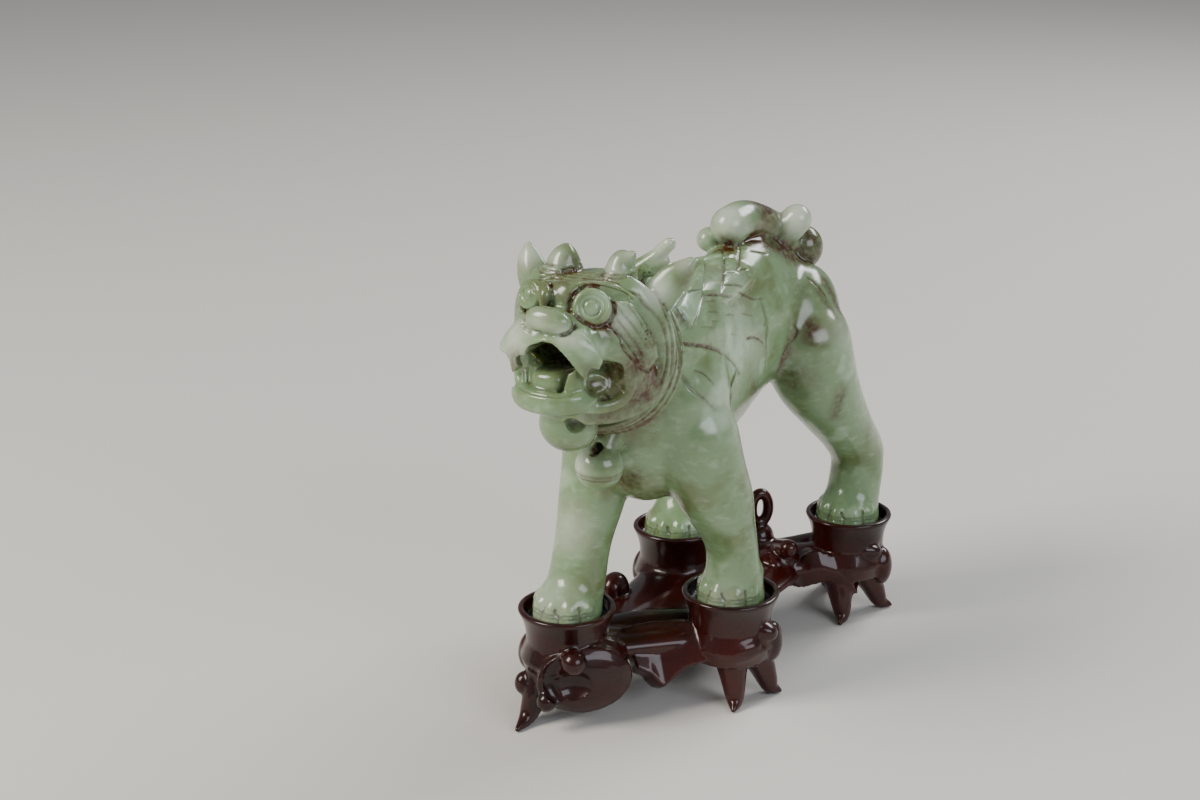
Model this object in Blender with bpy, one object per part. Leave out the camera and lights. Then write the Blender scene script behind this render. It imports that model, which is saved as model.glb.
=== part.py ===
"""Jade lion on a carved rosewood stand.

The lion is one stone: a striding Buddhist lion with an open mouth, drum-shaped
eyes, a ringed collar with a bell, and a tail that curls forward over its rump.
The stand is one piece of wood, a gnarled root with four cups for the paws.
+Z is up, the lion faces -Y, +X is its left side, and the table is Z = 0.
"""

import math

import bmesh
import bpy
from mathutils import Matrix, Vector

# Driving dimensions, in millimetres.
MM = 0.001
RIM_Z = 28.0  # top of the four cups above the table
CUP_DEPTH = 3.4  # cup floor below the rim
SEAT_GAP = 0.3  # between a sole and its cup floor
CUP_RADIUS = {"right_fore": 11.9, "left_fore": 12.0, "right_hind": 11.5, "left_hind": 11.5}
CUP_WALL = 1.35
DECK_Z = 14.6  # middle of the deck that joins the cups
HEAD_CENTRE = Vector((0.0, -47.0, 96.0))  # middle of the collar
HEAD_TURN = math.radians(5.0)  # towards the lion's left
COLLAR_TILT = math.radians(-14.0)
RIGHT_EYE_LIFT = 1.5  # the carver set the right eye higher
RIGHT_EAR_DROP = 1.8  # and left the right ear shorter
SOLE_Z = RIM_Z - CUP_DEPTH + SEAT_GAP
FRAME_SHIFT = Vector((-0.9, 12.3, 0.0))  # puts the middle of the footprint at the origin

# Where each cup stands, as (x, y): the right feet stride ahead of the left ones.
CUPS = {
    "right_fore": (-14.5, -45.8),
    "left_fore": (14.8, -16.8),
    "right_hind": (-17.4, 13.6),
    "left_hind": (17.9, 45.8),
}

# Middle of each paw, as (x, y).
PAWS = {
    "right_fore": (-14.4, -46.0),
    "left_fore": (15.0, -17.3),
    "right_hind": (-17.1, 13.0),
    "left_hind": (17.5, 46.1),
}

# Fineness of the carving.
BODY_VOXEL = 1.0
DETAIL_VOXEL = 0.6
STAND_VOXEL = 0.8
LION_TRIANGLES = 5200
ROOT_TRIANGLES = 1900


def clear_scene():
    """Remove the startup objects."""
    for obj in list(bpy.data.objects):
        bpy.data.objects.remove(obj)


def solid_material(name, colour, roughness):
    """A plain material in the finish of one sub-part."""
    material = bpy.data.materials.new(name)
    material.use_nodes = True
    shader = material.node_tree.nodes["Principled BSDF"]
    shader.inputs["Base Color"].default_value = (*colour, 1.0)
    shader.inputs["Roughness"].default_value = roughness
    material.diffuse_color = (*colour, 1.0)
    return material


def smooth_path(points, steps=4):
    """Catmull-Rom points through rows of numbers, `steps` to each stretch."""
    rows = [Vector(p) for p in points]
    rows = [rows[0] * 2 - rows[1], *rows, rows[-1] * 2 - rows[-2]]
    path = []
    for before, a, b, after in zip(rows, rows[1:], rows[2:], rows[3:]):
        for i in range(steps):
            t = i / steps
            path.append(
                (a * 2 + (b - before) * t
                 + (before * 2 - a * 5 + b * 4 - after) * t * t
                 + (a * 3 - before - b * 3 + after) * t * t * t) / 2
            )
    return [*path, rows[-2]]


class Clay:
    """Closed lumps that overlap, waiting to be fused into one solid."""

    def __init__(self):
        self.mesh = bmesh.new()

    def ball(self, centre, radii, turn=(0.0, 0.0, 0.0), place=None, sides=24):
        """An ellipsoid, turned by X, Y and Z angles in degrees."""
        spin = Matrix.Identity(3)
        for angle, axis in zip(turn, "XYZ"):
            spin = Matrix.Rotation(math.radians(angle), 3, axis) @ spin
        matrix = Matrix.LocRotScale(Vector(centre), spin.to_quaternion(), Vector(radii))
        bmesh.ops.create_uvsphere(
            self.mesh, u_segments=sides, v_segments=sides * 7 // 12, radius=1.0,
            matrix=place @ matrix if place else matrix,
        )

    def limb(self, points, flat=1.0, facing=(0, 0, 1), place=None, sides=16, closed=False):
        """A round-ended tube through (x, y, z, radius) points.

        `flat` is its thickness along `facing` over its width. A fifth number
        at each point is the flatness there.
        """
        path = smooth_path([(*p, flat)[:5] for p in points])
        spine = [Vector(p[:3]) for p in path]
        radii = [p[3] for p in path]
        flats = [p[4] for p in path]
        lead = (spine[0] - spine[1]).normalized()
        tail = (spine[-1] - spine[-2]).normalized()
        rings = []
        for i, at in enumerate(spine):
            along = (spine[min(i + 1, len(spine) - 1)] - spine[max(i - 1, 0)]).normalized()
            rings.append((at, radii[i], flats[i], along))
        if closed:
            along = (spine[1] - spine[-2]).normalized()
            rings = [(spine[0], radii[0], flats[0], along), *rings[1:-1]]
        else:
            for angle in (30, 58, 80):
                share = math.radians(angle)
                for end, out, i in ((0, lead, 0), (1, tail, -1)):
                    reach = radii[i] * min(1.0, flats[i]) * math.sin(share)
                    ring = (spine[i] + out * reach, radii[i] * math.cos(share), flats[i],
                            out if end else -out)
                    rings.insert(len(rings) if end else 0, ring)
        loops = []
        for at, radius, thin, along in rings:
            side = along.cross(Vector(facing)).normalized()
            up = side.cross(along).normalized()
            loop = []
            for i in range(sides):
                angle = math.tau * i / sides
                point = at + (side * math.cos(angle) + up * (thin * math.sin(angle))) * radius
                loop.append(self.mesh.verts.new(place @ point if place else point))
            loops.append(loop)
        pairs = list(zip(loops, loops[1:]))
        if closed:
            pairs.append((loops[-1], loops[0]))
        for low, high in pairs:
            for i in range(sides):
                j = (i + 1) % sides
                self.mesh.faces.new((low[i], low[j], high[j], high[i]))
        if not closed:
            self.mesh.faces.new(loops[0][::-1])
            self.mesh.faces.new(loops[-1])

    def drum(self, base, top, radii, place=None, sides=24):
        """A round bar from base to top with a radius at each end."""
        axis = Vector(top) - Vector(base)
        matrix = Matrix.Translation((Vector(base) + Vector(top)) / 2)
        matrix = matrix @ axis.to_track_quat("Z", "Y").to_matrix().to_4x4()
        bmesh.ops.create_cone(
            self.mesh, cap_ends=True, segments=sides, radius1=radii[0],
            radius2=radii[1], depth=axis.length, matrix=place @ matrix if place else matrix,
        )

    def turned(self, centre, profile, sides=22):
        """A lathe-turned solid: (radius, height) pairs from its foot to its top."""
        loops = []
        for radius, height in profile:
            loop = []
            for i in range(sides):
                angle = math.tau * i / sides
                loop.append(self.mesh.verts.new((
                    centre[0] + radius * math.cos(angle),
                    centre[1] + radius * math.sin(angle),
                    height,
                )))
            loops.append(loop)
        for low, high in zip(loops, loops[1:]):
            for i in range(sides):
                j = (i + 1) % sides
                self.mesh.faces.new((low[i], low[j], high[j], high[i]))
        self.mesh.faces.new(loops[0][::-1])
        self.mesh.faces.new(loops[-1])

    def as_object(self, name):
        """The lumps as one object, in metres."""
        bmesh.ops.recalc_face_normals(self.mesh, faces=self.mesh.faces)
        data = bpy.data.meshes.new(name)
        self.mesh.to_mesh(data)
        self.mesh.free()
        data.transform(Matrix.Scale(MM, 4) @ Matrix.Translation(FRAME_SHIFT))
        obj = bpy.data.objects.new(name, data)
        bpy.context.scene.collection.objects.link(obj)
        return obj


def fuse(obj, voxel, passes):
    """Join an object's lumps into one skin, and soften the joins."""
    remesh = obj.modifiers.new("Fuse", "REMESH")
    remesh.mode = "VOXEL"
    remesh.voxel_size = voxel * MM
    soften = obj.modifiers.new("Soften", "SMOOTH")
    soften.factor = 0.5
    soften.iterations = passes


def evaluated_mesh(obj):
    """A mesh with an object's modifiers applied."""
    bpy.context.view_layer.update()
    graph = bpy.context.evaluated_depsgraph_get()
    return bpy.data.meshes.new_from_object(obj.evaluated_get(graph))


def thin_out(obj, triangles):
    """Collapse the finest facets until about `triangles` remain."""
    whole = evaluated_mesh(obj)
    whole.calc_loop_triangles()
    share = triangles / len(whole.loop_triangles)
    bpy.data.meshes.remove(whole)
    collapse = obj.modifiers.new("Thin out", "DECIMATE")
    collapse.ratio = min(1.0, share)
    collapse.use_collapse_triangulate = True


def cut(obj, clay, name, operation="DIFFERENCE"):
    """Take the clay's shape out of an object, or add it."""
    tool = clay.as_object(name)
    tool.hide_render = True
    tool.display_type = "WIRE"
    boolean = obj.modifiers.new(name, "BOOLEAN")
    boolean.operation = operation
    boolean.solver = "EXACT"
    boolean.object = tool


# The lion ------------------------------------------------------------------


def add_torso(clay):
    """Deep chest, tucked waist, high rump and thick neck."""
    clay.limb([
        (0, -35, 80.0, 16.0, 1.50), (0, -28, 81.0, 17.2, 1.44), (0, -18, 82.8, 16.4, 1.42),
        (0, -7, 83.8, 14.9, 1.50), (0, 5, 85.8, 13.7, 1.50), (0, 17, 87.8, 14.2, 1.32),
        (0, 28, 88.6, 15.2, 1.16), (0, 34, 88.6, 14.4, 1.05),
    ], sides=24)
    clay.ball((0, -34, 77), (15.0, 13.5, 22.5))
    clay.limb([(0, -24, 93, 16.5), (0, -38, 95.5, 17.2), (0, -50, 98, 15)], flat=0.98)


def add_legs(clay):
    """Four legs, each from its muscle down to the ankle."""
    clay.ball((12.0, -34, 80), (9.0, 12.0, 17), (8, 0, 0))
    clay.limb([(14.2, -35.0, 74, 10.0), (15.4, -32, 64, 9.6), (15.9, -26.6, 55, 8.7),
               (15.9, -21.8, 47, 7.1), (15.7, -18.4, 40, 6.5), (15.5, -17.0, 31, 7.0)])
    clay.ball((-12.0, -33, 80), (9.0, 12.0, 17))
    clay.limb([(-12.2, -33, 74, 9.8), (-12.4, -34.5, 62, 9.0), (-13.0, -37, 52.6, 8.1),
               (-13.8, -39.6, 42.6, 7.0), (-14.2, -42.4, 31, 7.2)])
    clay.ball((10.0, 28, 84), (10.5, 14.5, 17.5), (-14, 0, 0))
    clay.limb([(12.3, 26, 80, 12.2), (14.6, 28.5, 70.6, 11.0), (16.0, 35.8, 61, 9.0),
               (17.0, 44.4, 51.5, 7.5), (17.8, 50.4, 43.5, 7.3), (17.8, 49.6, 36, 7.2),
               (17.6, 48.0, 30, 7.4)])
    clay.ball((-10.0, 25, 84), (10.5, 14.5, 17.5), (-6, 0, 0))
    clay.limb([(-12.0, 20, 80, 12.2), (-14.4, 15.5, 70, 10.6), (-16.0, 15.0, 60, 8.8),
               (-16.6, 18.0, 51, 7.4), (-17.2, 19.6, 43, 7.2), (-17.2, 17.6, 36, 7.1),
               (-17.2, 15.4, 30, 7.4)])
    for x, y in PAWS.values():
        clay.limb([(x, y + 4.0, 32.0, 7.0), (x, y - 1.6, 28.8, 8.0)], flat=0.74)
        clay.ball((x, y + 0.3, 26.6), (8.6, 9.0, 5.4))


def add_toes(clay, x, y):
    """Five toes round the front of a paw, claws below them."""
    for i in range(5):
        angle = math.radians(-72 + 36 * i)
        across, ahead = math.sin(angle), -math.cos(angle)
        clay.limb([(x + 5.2 * across, y + 0.6 + 5.6 * ahead, 32.0, 2.0),
                   (x + 6.7 * across, y + 0.6 + 7.3 * ahead, 29.6, 2.3),
                   (x + 6.9 * across, y + 0.6 + 7.6 * ahead, 26.0, 2.1)],
                  facing=(-ahead, across, 0), sides=10)


def head_place():
    """The frame of the head: forward is -Y and its origin is the collar's middle."""
    return Matrix.Translation(HEAD_CENTRE) @ Matrix.Rotation(HEAD_TURN, 4, "Z")


def collar_place():
    """The frame of the collar, which leans with the head."""
    return head_place() @ Matrix.Rotation(COLLAR_TILT, 4, "X")


def add_skull(clay):
    """Skull, brow, muzzle and the lower jaw."""
    at = head_place()
    clay.ball((0, -9.5, 5.0), (16.4, 14.0, 15.0), place=at)
    clay.ball((0, -18.5, 12.6), (12.6, 8.5, 7.4), (16, 0, 0), at)
    clay.ball((0, -22, 7.4), (10.4, 9.4, 6.6), place=at)
    clay.ball((0, -19, -2.0), (10.6, 11.5, 5.8), (-6, 0, 0), at)
    for side in (-1, 1):
        clay.ball((side * 10.6, -15.5, 2.0), (5.4, 8.0, 9.0), (0, 0, side * 14), at)
        clay.ball((side * 12.6, -18.8, 13.6), (4.8, 6.6, 6.6), place=at)


def add_face(clay):
    """Eyes, nose, lips, fangs and chin."""
    at = head_place()
    for side in (-1, 1):
        look = Vector((side * 0.44, -0.86, 0.26)).normalized()
        middle = Vector((side * 7.7, -27.6, 17.2 + (RIGHT_EYE_LIFT if side < 0 else 0.0)))
        clay.drum(middle - look * 8.0, middle, (4.5, 3.9), at)
        clay.limb([(side * 0.6, -33.2, 9.4, 2.7), (side * 4.6, -33.4, 7.9, 3.4),
                   (side * 8.8, -32.0, 6.1, 3.8), (side * 12.2, -28.6, 5.2, 3.1),
                   (side * 12.2, -24.0, 5.4, 2.4)],
                  flat=0.62, facing=(side * 0.3, -1, 0.25), place=at)
        clay.limb([(side * 8.4, -32.2, 5.0, 2.4), (side * 9.0, -33.2, 2.6, 1.5),
                   (side * 9.4, -33.6, 0.9, 0.5)], flat=0.6, facing=(side * 0.5, -1, 0), place=at)
        clay.limb([(side * 12.5, -28.4, 4.6, 2.2), (side * 12.9, -28.8, 2.4, 0.9)],
                  flat=0.7, facing=(side, -1, 0), place=at)
        clay.limb([(side * 8.2, -23.5, -2.0, 3.0), (side * 7.6, -29.5, -1.4, 2.5),
                   (side * 6.6, -32.0, -0.6, 2.0)], place=at)
        clay.drum((side * 6.9, -31.5, -3.0), (side * 6.9, -31.8, 1.6), (1.9, 1.5), at, 12)
    clay.ball((0, -32.0, 13.1), (5.5, 3.2, 2.8), place=at)
    clay.limb([(-7.6, -29.6, -3.4, 2.4), (-4.2, -33.2, -3.9, 2.5), (0, -34.4, -4.1, 2.6),
               (4.2, -33.2, -3.9, 2.5), (7.6, -29.6, -3.4, 2.4)], place=at)
    clay.ball((0, -26.4, -5.4), (8.6, 7.4, 3.6), place=at)


def add_cheeks(clay):
    """Leaf-shaped curls behind the eyes, and the ridge round the face."""
    at = head_place()
    for side in (-1, 1):
        clay.limb([(side * 10.0, -23.6, 18.6, 1.4), (side * 13.6, -19.6, 13.6, 3.0),
                   (side * 15.8, -15.6, 6.6, 3.6), (side * 15.8, -14.4, 1.6, 3.2)],
                  flat=0.55, facing=(side, -0.6, 0), place=at)
        clay.limb([(side * 9.4, -24.0, -6.0, 1.8), (side * 12.6, -19.4, -6.0, 2.2),
                   (side * 15.0, -15.0, -2.6, 2.0), (side * 15.2, -15.0, 2.0, 1.6)],
                  flat=0.8, facing=(side, -0.4, 0), place=at)
    band = []
    for degrees in range(-112, 113, 16):
        angle = math.radians(degrees)
        back = 9.5 * abs(math.sin(angle)) ** 1.4
        band.append((math.sin(angle) * 16.9, back - 20.4, 5.2 + math.cos(angle) * 15.0, 1.2))
    clay.limb(band, facing=(0, -1, 0.2), place=at, sides=8)
    for ring, radius in enumerate((16.6, 17.6)):
        lead = -8.6 + 3.4 * ring
        line = [(math.sin(a) * radius, lead, 1.2 + math.cos(a) * radius, 1.2)
                for a in (math.radians(d) for d in range(48, 313, 12))]
        clay.limb(line, facing=(0, 1, 0), place=at, sides=8)


def add_ears_and_horns(clay):
    """Pod-shaped ears, two buds on the brow and one small horn."""
    at = head_place()
    for side in (-1, 1):
        drop = RIGHT_EAR_DROP if side < 0 else 0.0
        clay.limb([(side * 13.4, -10.6, 14.0, 4.2), (side * 16.2, -8.4, 17.6 - drop / 2, 4.1),
                   (side * 18.6, -6.2, 21.0 - drop, 2.9), (side * 20.4, -4.6, 24.0 - drop, 0.9)],
                  flat=0.66, facing=(side * 0.5, -1, 0.2), place=at)
        middle = 7.0 if side > 0 else -6.4
        clay.ball((middle, -13.4, 20.2), (4.4, 3.8, 3.4), (0, side * 12, 0), at)
        clay.ball((middle + side * 0.5, -12.6, 22.4), (3.5, 3.2, 2.7), (0, side * 16, 0), at)
        clay.drum((middle + side * 0.6, -12.4, 22.6), (middle + side * 1.8, -11.0, 25.8),
                  (2.9, 0.7), at, 16)
    clay.limb([(4.2, -4.0, 17.0, 3.0), (6.0, -0.6, 19.4, 2.2), (8.2, 2.4, 21.8, 1.7),
               (9.6, 4.4, 24.0, 1.4)], facing=(1, -1, 0), place=at)
    clay.limb([(6.8, 3.2, 18.6, 1.6), (8.8, 5.6, 20.4, 1.7)], facing=(1, -1, 0), place=at)


def add_collar(clay):
    """The ringed collar, the curled beard, and the bell that hangs from it."""
    at = collar_place()
    for radius, lead, thick in ((18.5, 0.6, 1.9), (18.1, -1.8, 1.5)):
        ring = [(math.sin(a) * radius, lead, math.cos(a) * radius * 1.07, thick)
                for a in (math.radians(d) for d in range(0, 361, 20))]
        clay.limb(ring, facing=(0, 1, 0), place=at, closed=True)
    clay.ball((-1.2, -65.8, 82.8), (6.9, 5.9, 6.4))
    clay.ball((-0.4, -66.4, 88.6), (6.2, 6.4, 4.4))
    clay.drum((0.0, -49.0, 78.0), (-0.4, -54.0, 71.6), (4.8, 3.6))
    clay.ball((-0.5, -55.0, 68.8), (5.6, 5.5, 5.5))


def add_mane(clay):
    """Pointed locks that hang down each side of the nape, laid over each other."""
    clay.limb([(0, -46, 106.5, 9.0), (0, -30, 105.4, 9.6), (0, -14, 103.6, 8.6),
               (0, -2, 101.6, 7.0)], flat=0.72)
    for side in (-1, 1):
        for root, bend, tip, width in (
            ((1.0, -3.0, 107.6), (9.4, -6.0, 103.4), (12.6, -11.0, 94.6), 3.5),
            ((1.2, -11.5, 109.8), (10.4, -14.0, 105.2), (15.0, -20.0, 93.4), 4.1),
            ((1.4, -21.5, 111.8), (11.6, -24.0, 107.0), (17.2, -31.0, 91.0), 4.4),
            ((1.6, -32.0, 113.4), (12.0, -34.0, 108.6), (17.4, -41.0, 96.0), 4.0),
        ):
            clay.limb([(side * root[0], root[1], root[2], width * 0.9),
                       (side * bend[0], bend[1], bend[2], width),
                       (side * tip[0], tip[1], tip[2], 0.9)],
                      flat=0.4, facing=(side, 0, 1.2))


def add_tail(clay):
    """The tail rises behind the rump and curls forward in plump lobes."""
    clay.ball((1.6, 39.5, 98.4), (8.6, 8.2, 9.6), (20, 0, 0))
    clay.limb([(0.6, 7.2, 111.6, 5.9), (0.7, 14, 112.2, 6.5), (0.9, 22, 110.4, 5.8),
               (1.2, 31, 105.6, 6.4)], flat=0.88)
    clay.limb([(4.6, 25.0, 104.6, 3.2), (6.6, 27.2, 108.2, 4.4), (8.2, 29.4, 110.6, 4.4)],
              facing=(1, -1, 0))
    clay.limb([(-5.0, 25.0, 104.6, 3.0), (-7.2, 27.4, 107.8, 4.0), (-9.0, 29.6, 110.0, 3.8)],
              facing=(1, 1, 0))
    clay.ball((-6.6, 9.0, 107.4), (3.8, 4.6, 4.6))


def build_lion():
    """The stone, carved as one solid."""
    body = Clay()
    add_torso(body)
    add_legs(body)
    rough = body.as_object("lion_rough")
    fuse(rough, BODY_VOXEL, 16)
    softened = evaluated_mesh(rough)
    bpy.data.objects.remove(rough)

    clay = Clay()
    for x, y in PAWS.values():
        add_toes(clay, x, y)
    for add in (add_skull, add_face, add_cheeks, add_ears_and_horns,
                add_collar, add_mane, add_tail):
        add(clay)
    softened.transform(Matrix.Translation(-FRAME_SHIFT) @ Matrix.Scale(1 / MM, 4))
    clay.mesh.from_mesh(softened)
    lion = clay.as_object("jade_lion")
    fuse(lion, DETAIL_VOXEL, 3)
    thin_out(lion, LION_TRIANGLES)

    at = head_place()
    hollows = Clay()
    hollows.ball((0, -31, 3.4), (7.3, 12.5, 5.6), (4, 0, 0), at, 16)
    cut(lion, hollows, "mouth_arch")
    pockets = Clay()
    for side in (-1, 1):
        pockets.ball((side * 13.6, -25.0, 0.2), (3.9, 6.4, 3.3), (0, 0, side * 24), at, 12)
    cut(lion, pockets, "mouth_corners")
    level = Clay()
    level.drum((0, 0, SOLE_Z - 20), (0, 0, SOLE_Z), (150, 150))
    cut(lion, level, "level_soles")
    return lion


# The stand -----------------------------------------------------------------


def cup_profile(radius):
    """Outside of a turned cup: waist and flared lip."""
    return (
        (radius - 3.0, 15.0), (radius - 1.9, 18.6), (radius - 1.8, 21.6),
        (radius - 0.9, 25.0), (radius, 27.2), (radius - 0.5, RIM_Z),
    )


def hollow_profile(radius):
    """Inside of a cup, down to its flat floor."""
    inner = radius - CUP_WALL
    floor = RIM_Z - CUP_DEPTH
    return ((inner - 0.9, floor), (inner - 0.1, floor + 0.9), (inner, RIM_Z + 1.0))


def panel_point(pair, along, out, z):
    """A place on the front of a pair of cups: along it, out from it, and up."""
    a, b = (Vector(CUPS[name]) for name in pair)
    run = (b - a).normalized()
    spot = a + run * along + Vector((run.y, -run.x)) * out
    return (spot.x, spot.y, z)


def fore(along, out, z):
    """A place on the front panel, which joins the two fore cups."""
    return panel_point(("right_fore", "left_fore"), along, out, z)


def hind(along, out, z):
    """A place on the front of the two hind cups."""
    return panel_point(("right_hind", "left_hind"), along, out, z)


PANEL_FACE = (0.7, -0.71, 0.0)  # the way both panels look
PANEL_TURN = (0, 0, 44.0)


def add_deck(clay):
    """The flat of the root, thick under the cups and dished between them."""
    fore_r, fore_l = CUPS["right_fore"], CUPS["left_fore"]
    hind_r, hind_l = CUPS["right_hind"], CUPS["left_hind"]
    for a, b, width in ((fore_r, fore_l, 10.0), (hind_r, hind_l, 10.0),
                        ((-13, -36), (-15.5, 8), 9.0), ((-3, -26), (-3, 22), 11.0),
                        ((7, -16), (6, 26), 7.0), ((0, -32), (6, -10), 9.0)):
        middle = ((a[0] + b[0]) / 2, (a[1] + b[1]) / 2)
        clay.limb([(*a, DECK_Z, width), (*middle, DECK_Z - 0.4, width - 1.0),
                   (*b, DECK_Z, width)], flat=0.36)
    for name, (x, y) in CUPS.items():
        radius = CUP_RADIUS[name]
        clay.drum((x, y, 9.5), (x, y, 15.0), (radius - 1.4, radius - 0.4))
        clay.drum((x, y, 15.0), (x, y, 21.0), (radius - 0.4, radius - 2.6))


def add_fore_panel(clay):
    """A round lobe with its knob, a pointed cusp, an arch, and lobes under the cup."""
    clay.ball(fore(3.4, 6.4, 13.8), (11.8, 5.8, 9.4), PANEL_TURN)
    clay.limb([(*fore(9, 0, 16.0), 5.0), (*fore(16, 1.6, 15.4), 4.6), (*fore(22, 2.0, 15.4), 4.0)])
    clay.ball(fore(22.4, 4.6, 15.4), (4.6, 3.6, 5.2), PANEL_TURN)
    clay.limb([(*fore(20.6, 6.0, 15.4), 3.6), (*fore(22.0, 7.2, 11.4), 2.2),
               (*fore(22.6, 7.8, 8.4), 0.6)], facing=PANEL_FACE, flat=0.9)
    clay.limb([(*fore(19.0, 4.6, 17.0), 3.6), (*fore(27, 4.8, 15.8), 4.0),
               (*fore(34, 5.0, 16.4), 3.4), (*fore(41, 6.8, 15.2), 3.6),
               (*fore(47.0, 7.2, 11.4), 2.2)], facing=PANEL_FACE, flat=0.9)
    clay.ball(fore(43.0, 8.6, 15.0), (4.8, 3.4, 4.6), PANEL_TURN)
    clay.ball(fore(51.0, 4.0, 14.4), (3.0, 3.6, 6.0), (0, 0, 20))
    clay.ball((-12.4, -58.6, 8.2), (2.4, 2.4, 2.6))
    clay.ball((-21.4, -54.4, 9.2), (2.4, 2.6, 3.0))


def add_hind_panel(clay):
    """A crescent lobe round a knob, a fin over the rear arch, and lobes beside it."""
    clay.limb([(*hind(20.0, 4.0, 21.6), 2.0), (*hind(23.4, 7.2, 17.6), 2.6),
               (*hind(28.8, 9.0, 12.6), 1.6)], facing=PANEL_FACE, flat=0.9)
    clay.ball(hind(25.4, 3.4, 17.6), (5.6, 4.6, 3.6), PANEL_TURN)
    clay.ball(hind(25.2, 6.6, 23.6), (2.2, 2.2, 2.2))
    clay.ball(hind(25.0, 5.6, 21.0), (2.4, 2.4, 3.0))
    clay.limb([(*hind(31.8, 7.0, 10.6), 1.0), (*hind(32.8, 6.8, 15.4), 3.4),
               (*hind(38.0, 6.2, 16.4), 5.2), (*hind(44.0, 7.2, 13.0), 4.4),
               (*hind(48.6, 8.6, 7.8), 1.4)], facing=PANEL_FACE, flat=0.7)
    clay.ball(hind(51.0, 8.2, 17.8), (3.8, 3.0, 3.8), PANEL_TURN)
    clay.ball(hind(56.4, 5.6, 13.8), (3.0, 3.6, 6.2), (0, 0, 20))


def add_feet(clay):
    """Short legs that end in outward-curling points, flat where they land."""
    feet = (  # where each leaves the root, lands, and points
        ((-17.5, -51), (-18.8, -57.0), (-18.6, -62.0)),
        ((17, -20), (20.0, -23.4), (21.2, -26.4)),
        ((20, -14), (24.0, -12.0), (26.0, -10.6)),
        ((18, 40), (21.4, 36.4), (22.2, 33.2)),
        ((22, 47), (26.4, 50.0), (28.8, 51.6)),
        ((-20, 12), (-24.4, 9.4), (-26.6, 7.6)),
        ((-18, -40), (-22.6, -36.0), (-25.0, -34.0)),
        ((-18, 17), (-21.0, 22.4), (-22.4, 25.2)),
        ((13, 49), (8.6, 54.6), (6.6, 57.2)),
    )
    for leaves, lands, points in feet:
        knee = ((leaves[0] + lands[0]) / 2, (leaves[1] + lands[1]) / 2)
        clay.limb([(*leaves, DECK_Z - 2, 5.4), (*knee, 8.0, 4.4), (*lands, 1.6, 3.5),
                   (*points, 0.8, 1.5)], facing=(0.2, 0.1, 1))


def add_rear_lobes(clay):
    """Plainer swellings on the sides that face away."""
    clay.ball((-21.6, -11.4, 17.6), (3.6, 4.4, 4.6))
    clay.ball((-24.0, -46.0, 14.0), (3.4, 5.0, 5.4))
    clay.ball((-26.4, 13.0, 13.8), (3.0, 5.0, 5.6))
    clay.ball((-14.0, 24.0, 13.8), (5.0, 3.4, 5.2), (0, 0, 20))
    clay.ball((15.0, 56.0, 13.8), (5.4, 3.2, 5.4))
    clay.limb([(-6, 31, 14.5, 4.6), (1, 38, 14.0, 4.4), (9, 48, 14.5, 4.4)], flat=1.1)
    clay.ball((-4.0, 37.0, 18.6), (3.6, 4.2, 4.4))
    loop = []
    for degrees in range(0, 361, 30):
        angle = math.radians(degrees)
        loop.append((-4.2 + 1.6 * math.sin(angle), 36.6 + 1.8 * math.sin(angle),
                     27.4 + 4.2 * math.cos(angle), 1.55))
    clay.limb(loop, facing=(0.75, -0.66, 0), closed=True, sides=12)


def build_stand():
    """The wooden root with its four turned cups."""
    clay = Clay()
    for add in (add_deck, add_fore_panel, add_hind_panel, add_feet, add_rear_lobes):
        add(clay)
    stand = clay.as_object("rosewood_stand")
    fuse(stand, STAND_VOXEL, 4)
    eyes = Clay()
    eyes.ball(fore(0.8, 12.4, 17.0), (4.4, 4.4, 4.8), sides=14)
    cut(stand, eyes, "eye_hollow")
    knob = Clay()
    knob.limb([(*fore(-1.6, 5.0, 18.6), 2.2), (*fore(-1.6, 10.4, 20.8), 3.3)])
    cut(stand, knob, "eye_knob", "UNION")
    thin_out(stand, ROOT_TRIANGLES)

    outsides = Clay()
    insides = Clay()
    for name, centre in CUPS.items():
        outsides.turned(centre, cup_profile(CUP_RADIUS[name]))
        insides.turned(centre, hollow_profile(CUP_RADIUS[name]))
    cut(stand, outsides, "cups", "UNION")
    cut(stand, insides, "cup_hollows")
    floor = Clay()
    floor.drum((0, 0, -20), (0, 0, 0), (150, 150))
    cut(stand, floor, "table_plane")
    return stand


def main():
    clear_scene()
    jade = solid_material("polished_jade", (0.52, 0.62, 0.47), 0.18)
    wood = solid_material("lacquered_rosewood", (0.06, 0.015, 0.012), 0.22)
    build_lion().data.materials.append(jade)
    build_stand().data.materials.append(wood)


main()
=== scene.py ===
"""A jade lion on its carved rosewood stand, finished for the studio.

The lion is one polished stone and the stand one lacquered root. Each is built as
clay lumps that are fused and cut, the stone is engraved as well, and each stands for its CAD node.
Lengths are the carver's millimetres until a finished piece is set in the frame.
"""

import logging
import math
from collections.abc import Callable, Iterable, Sequence
from dataclasses import dataclass, field
from enum import Enum

import bpy
import numpy as np
from mathutils import Euler, Matrix, Vector
from mathutils.bvhtree import BVHTree


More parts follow.
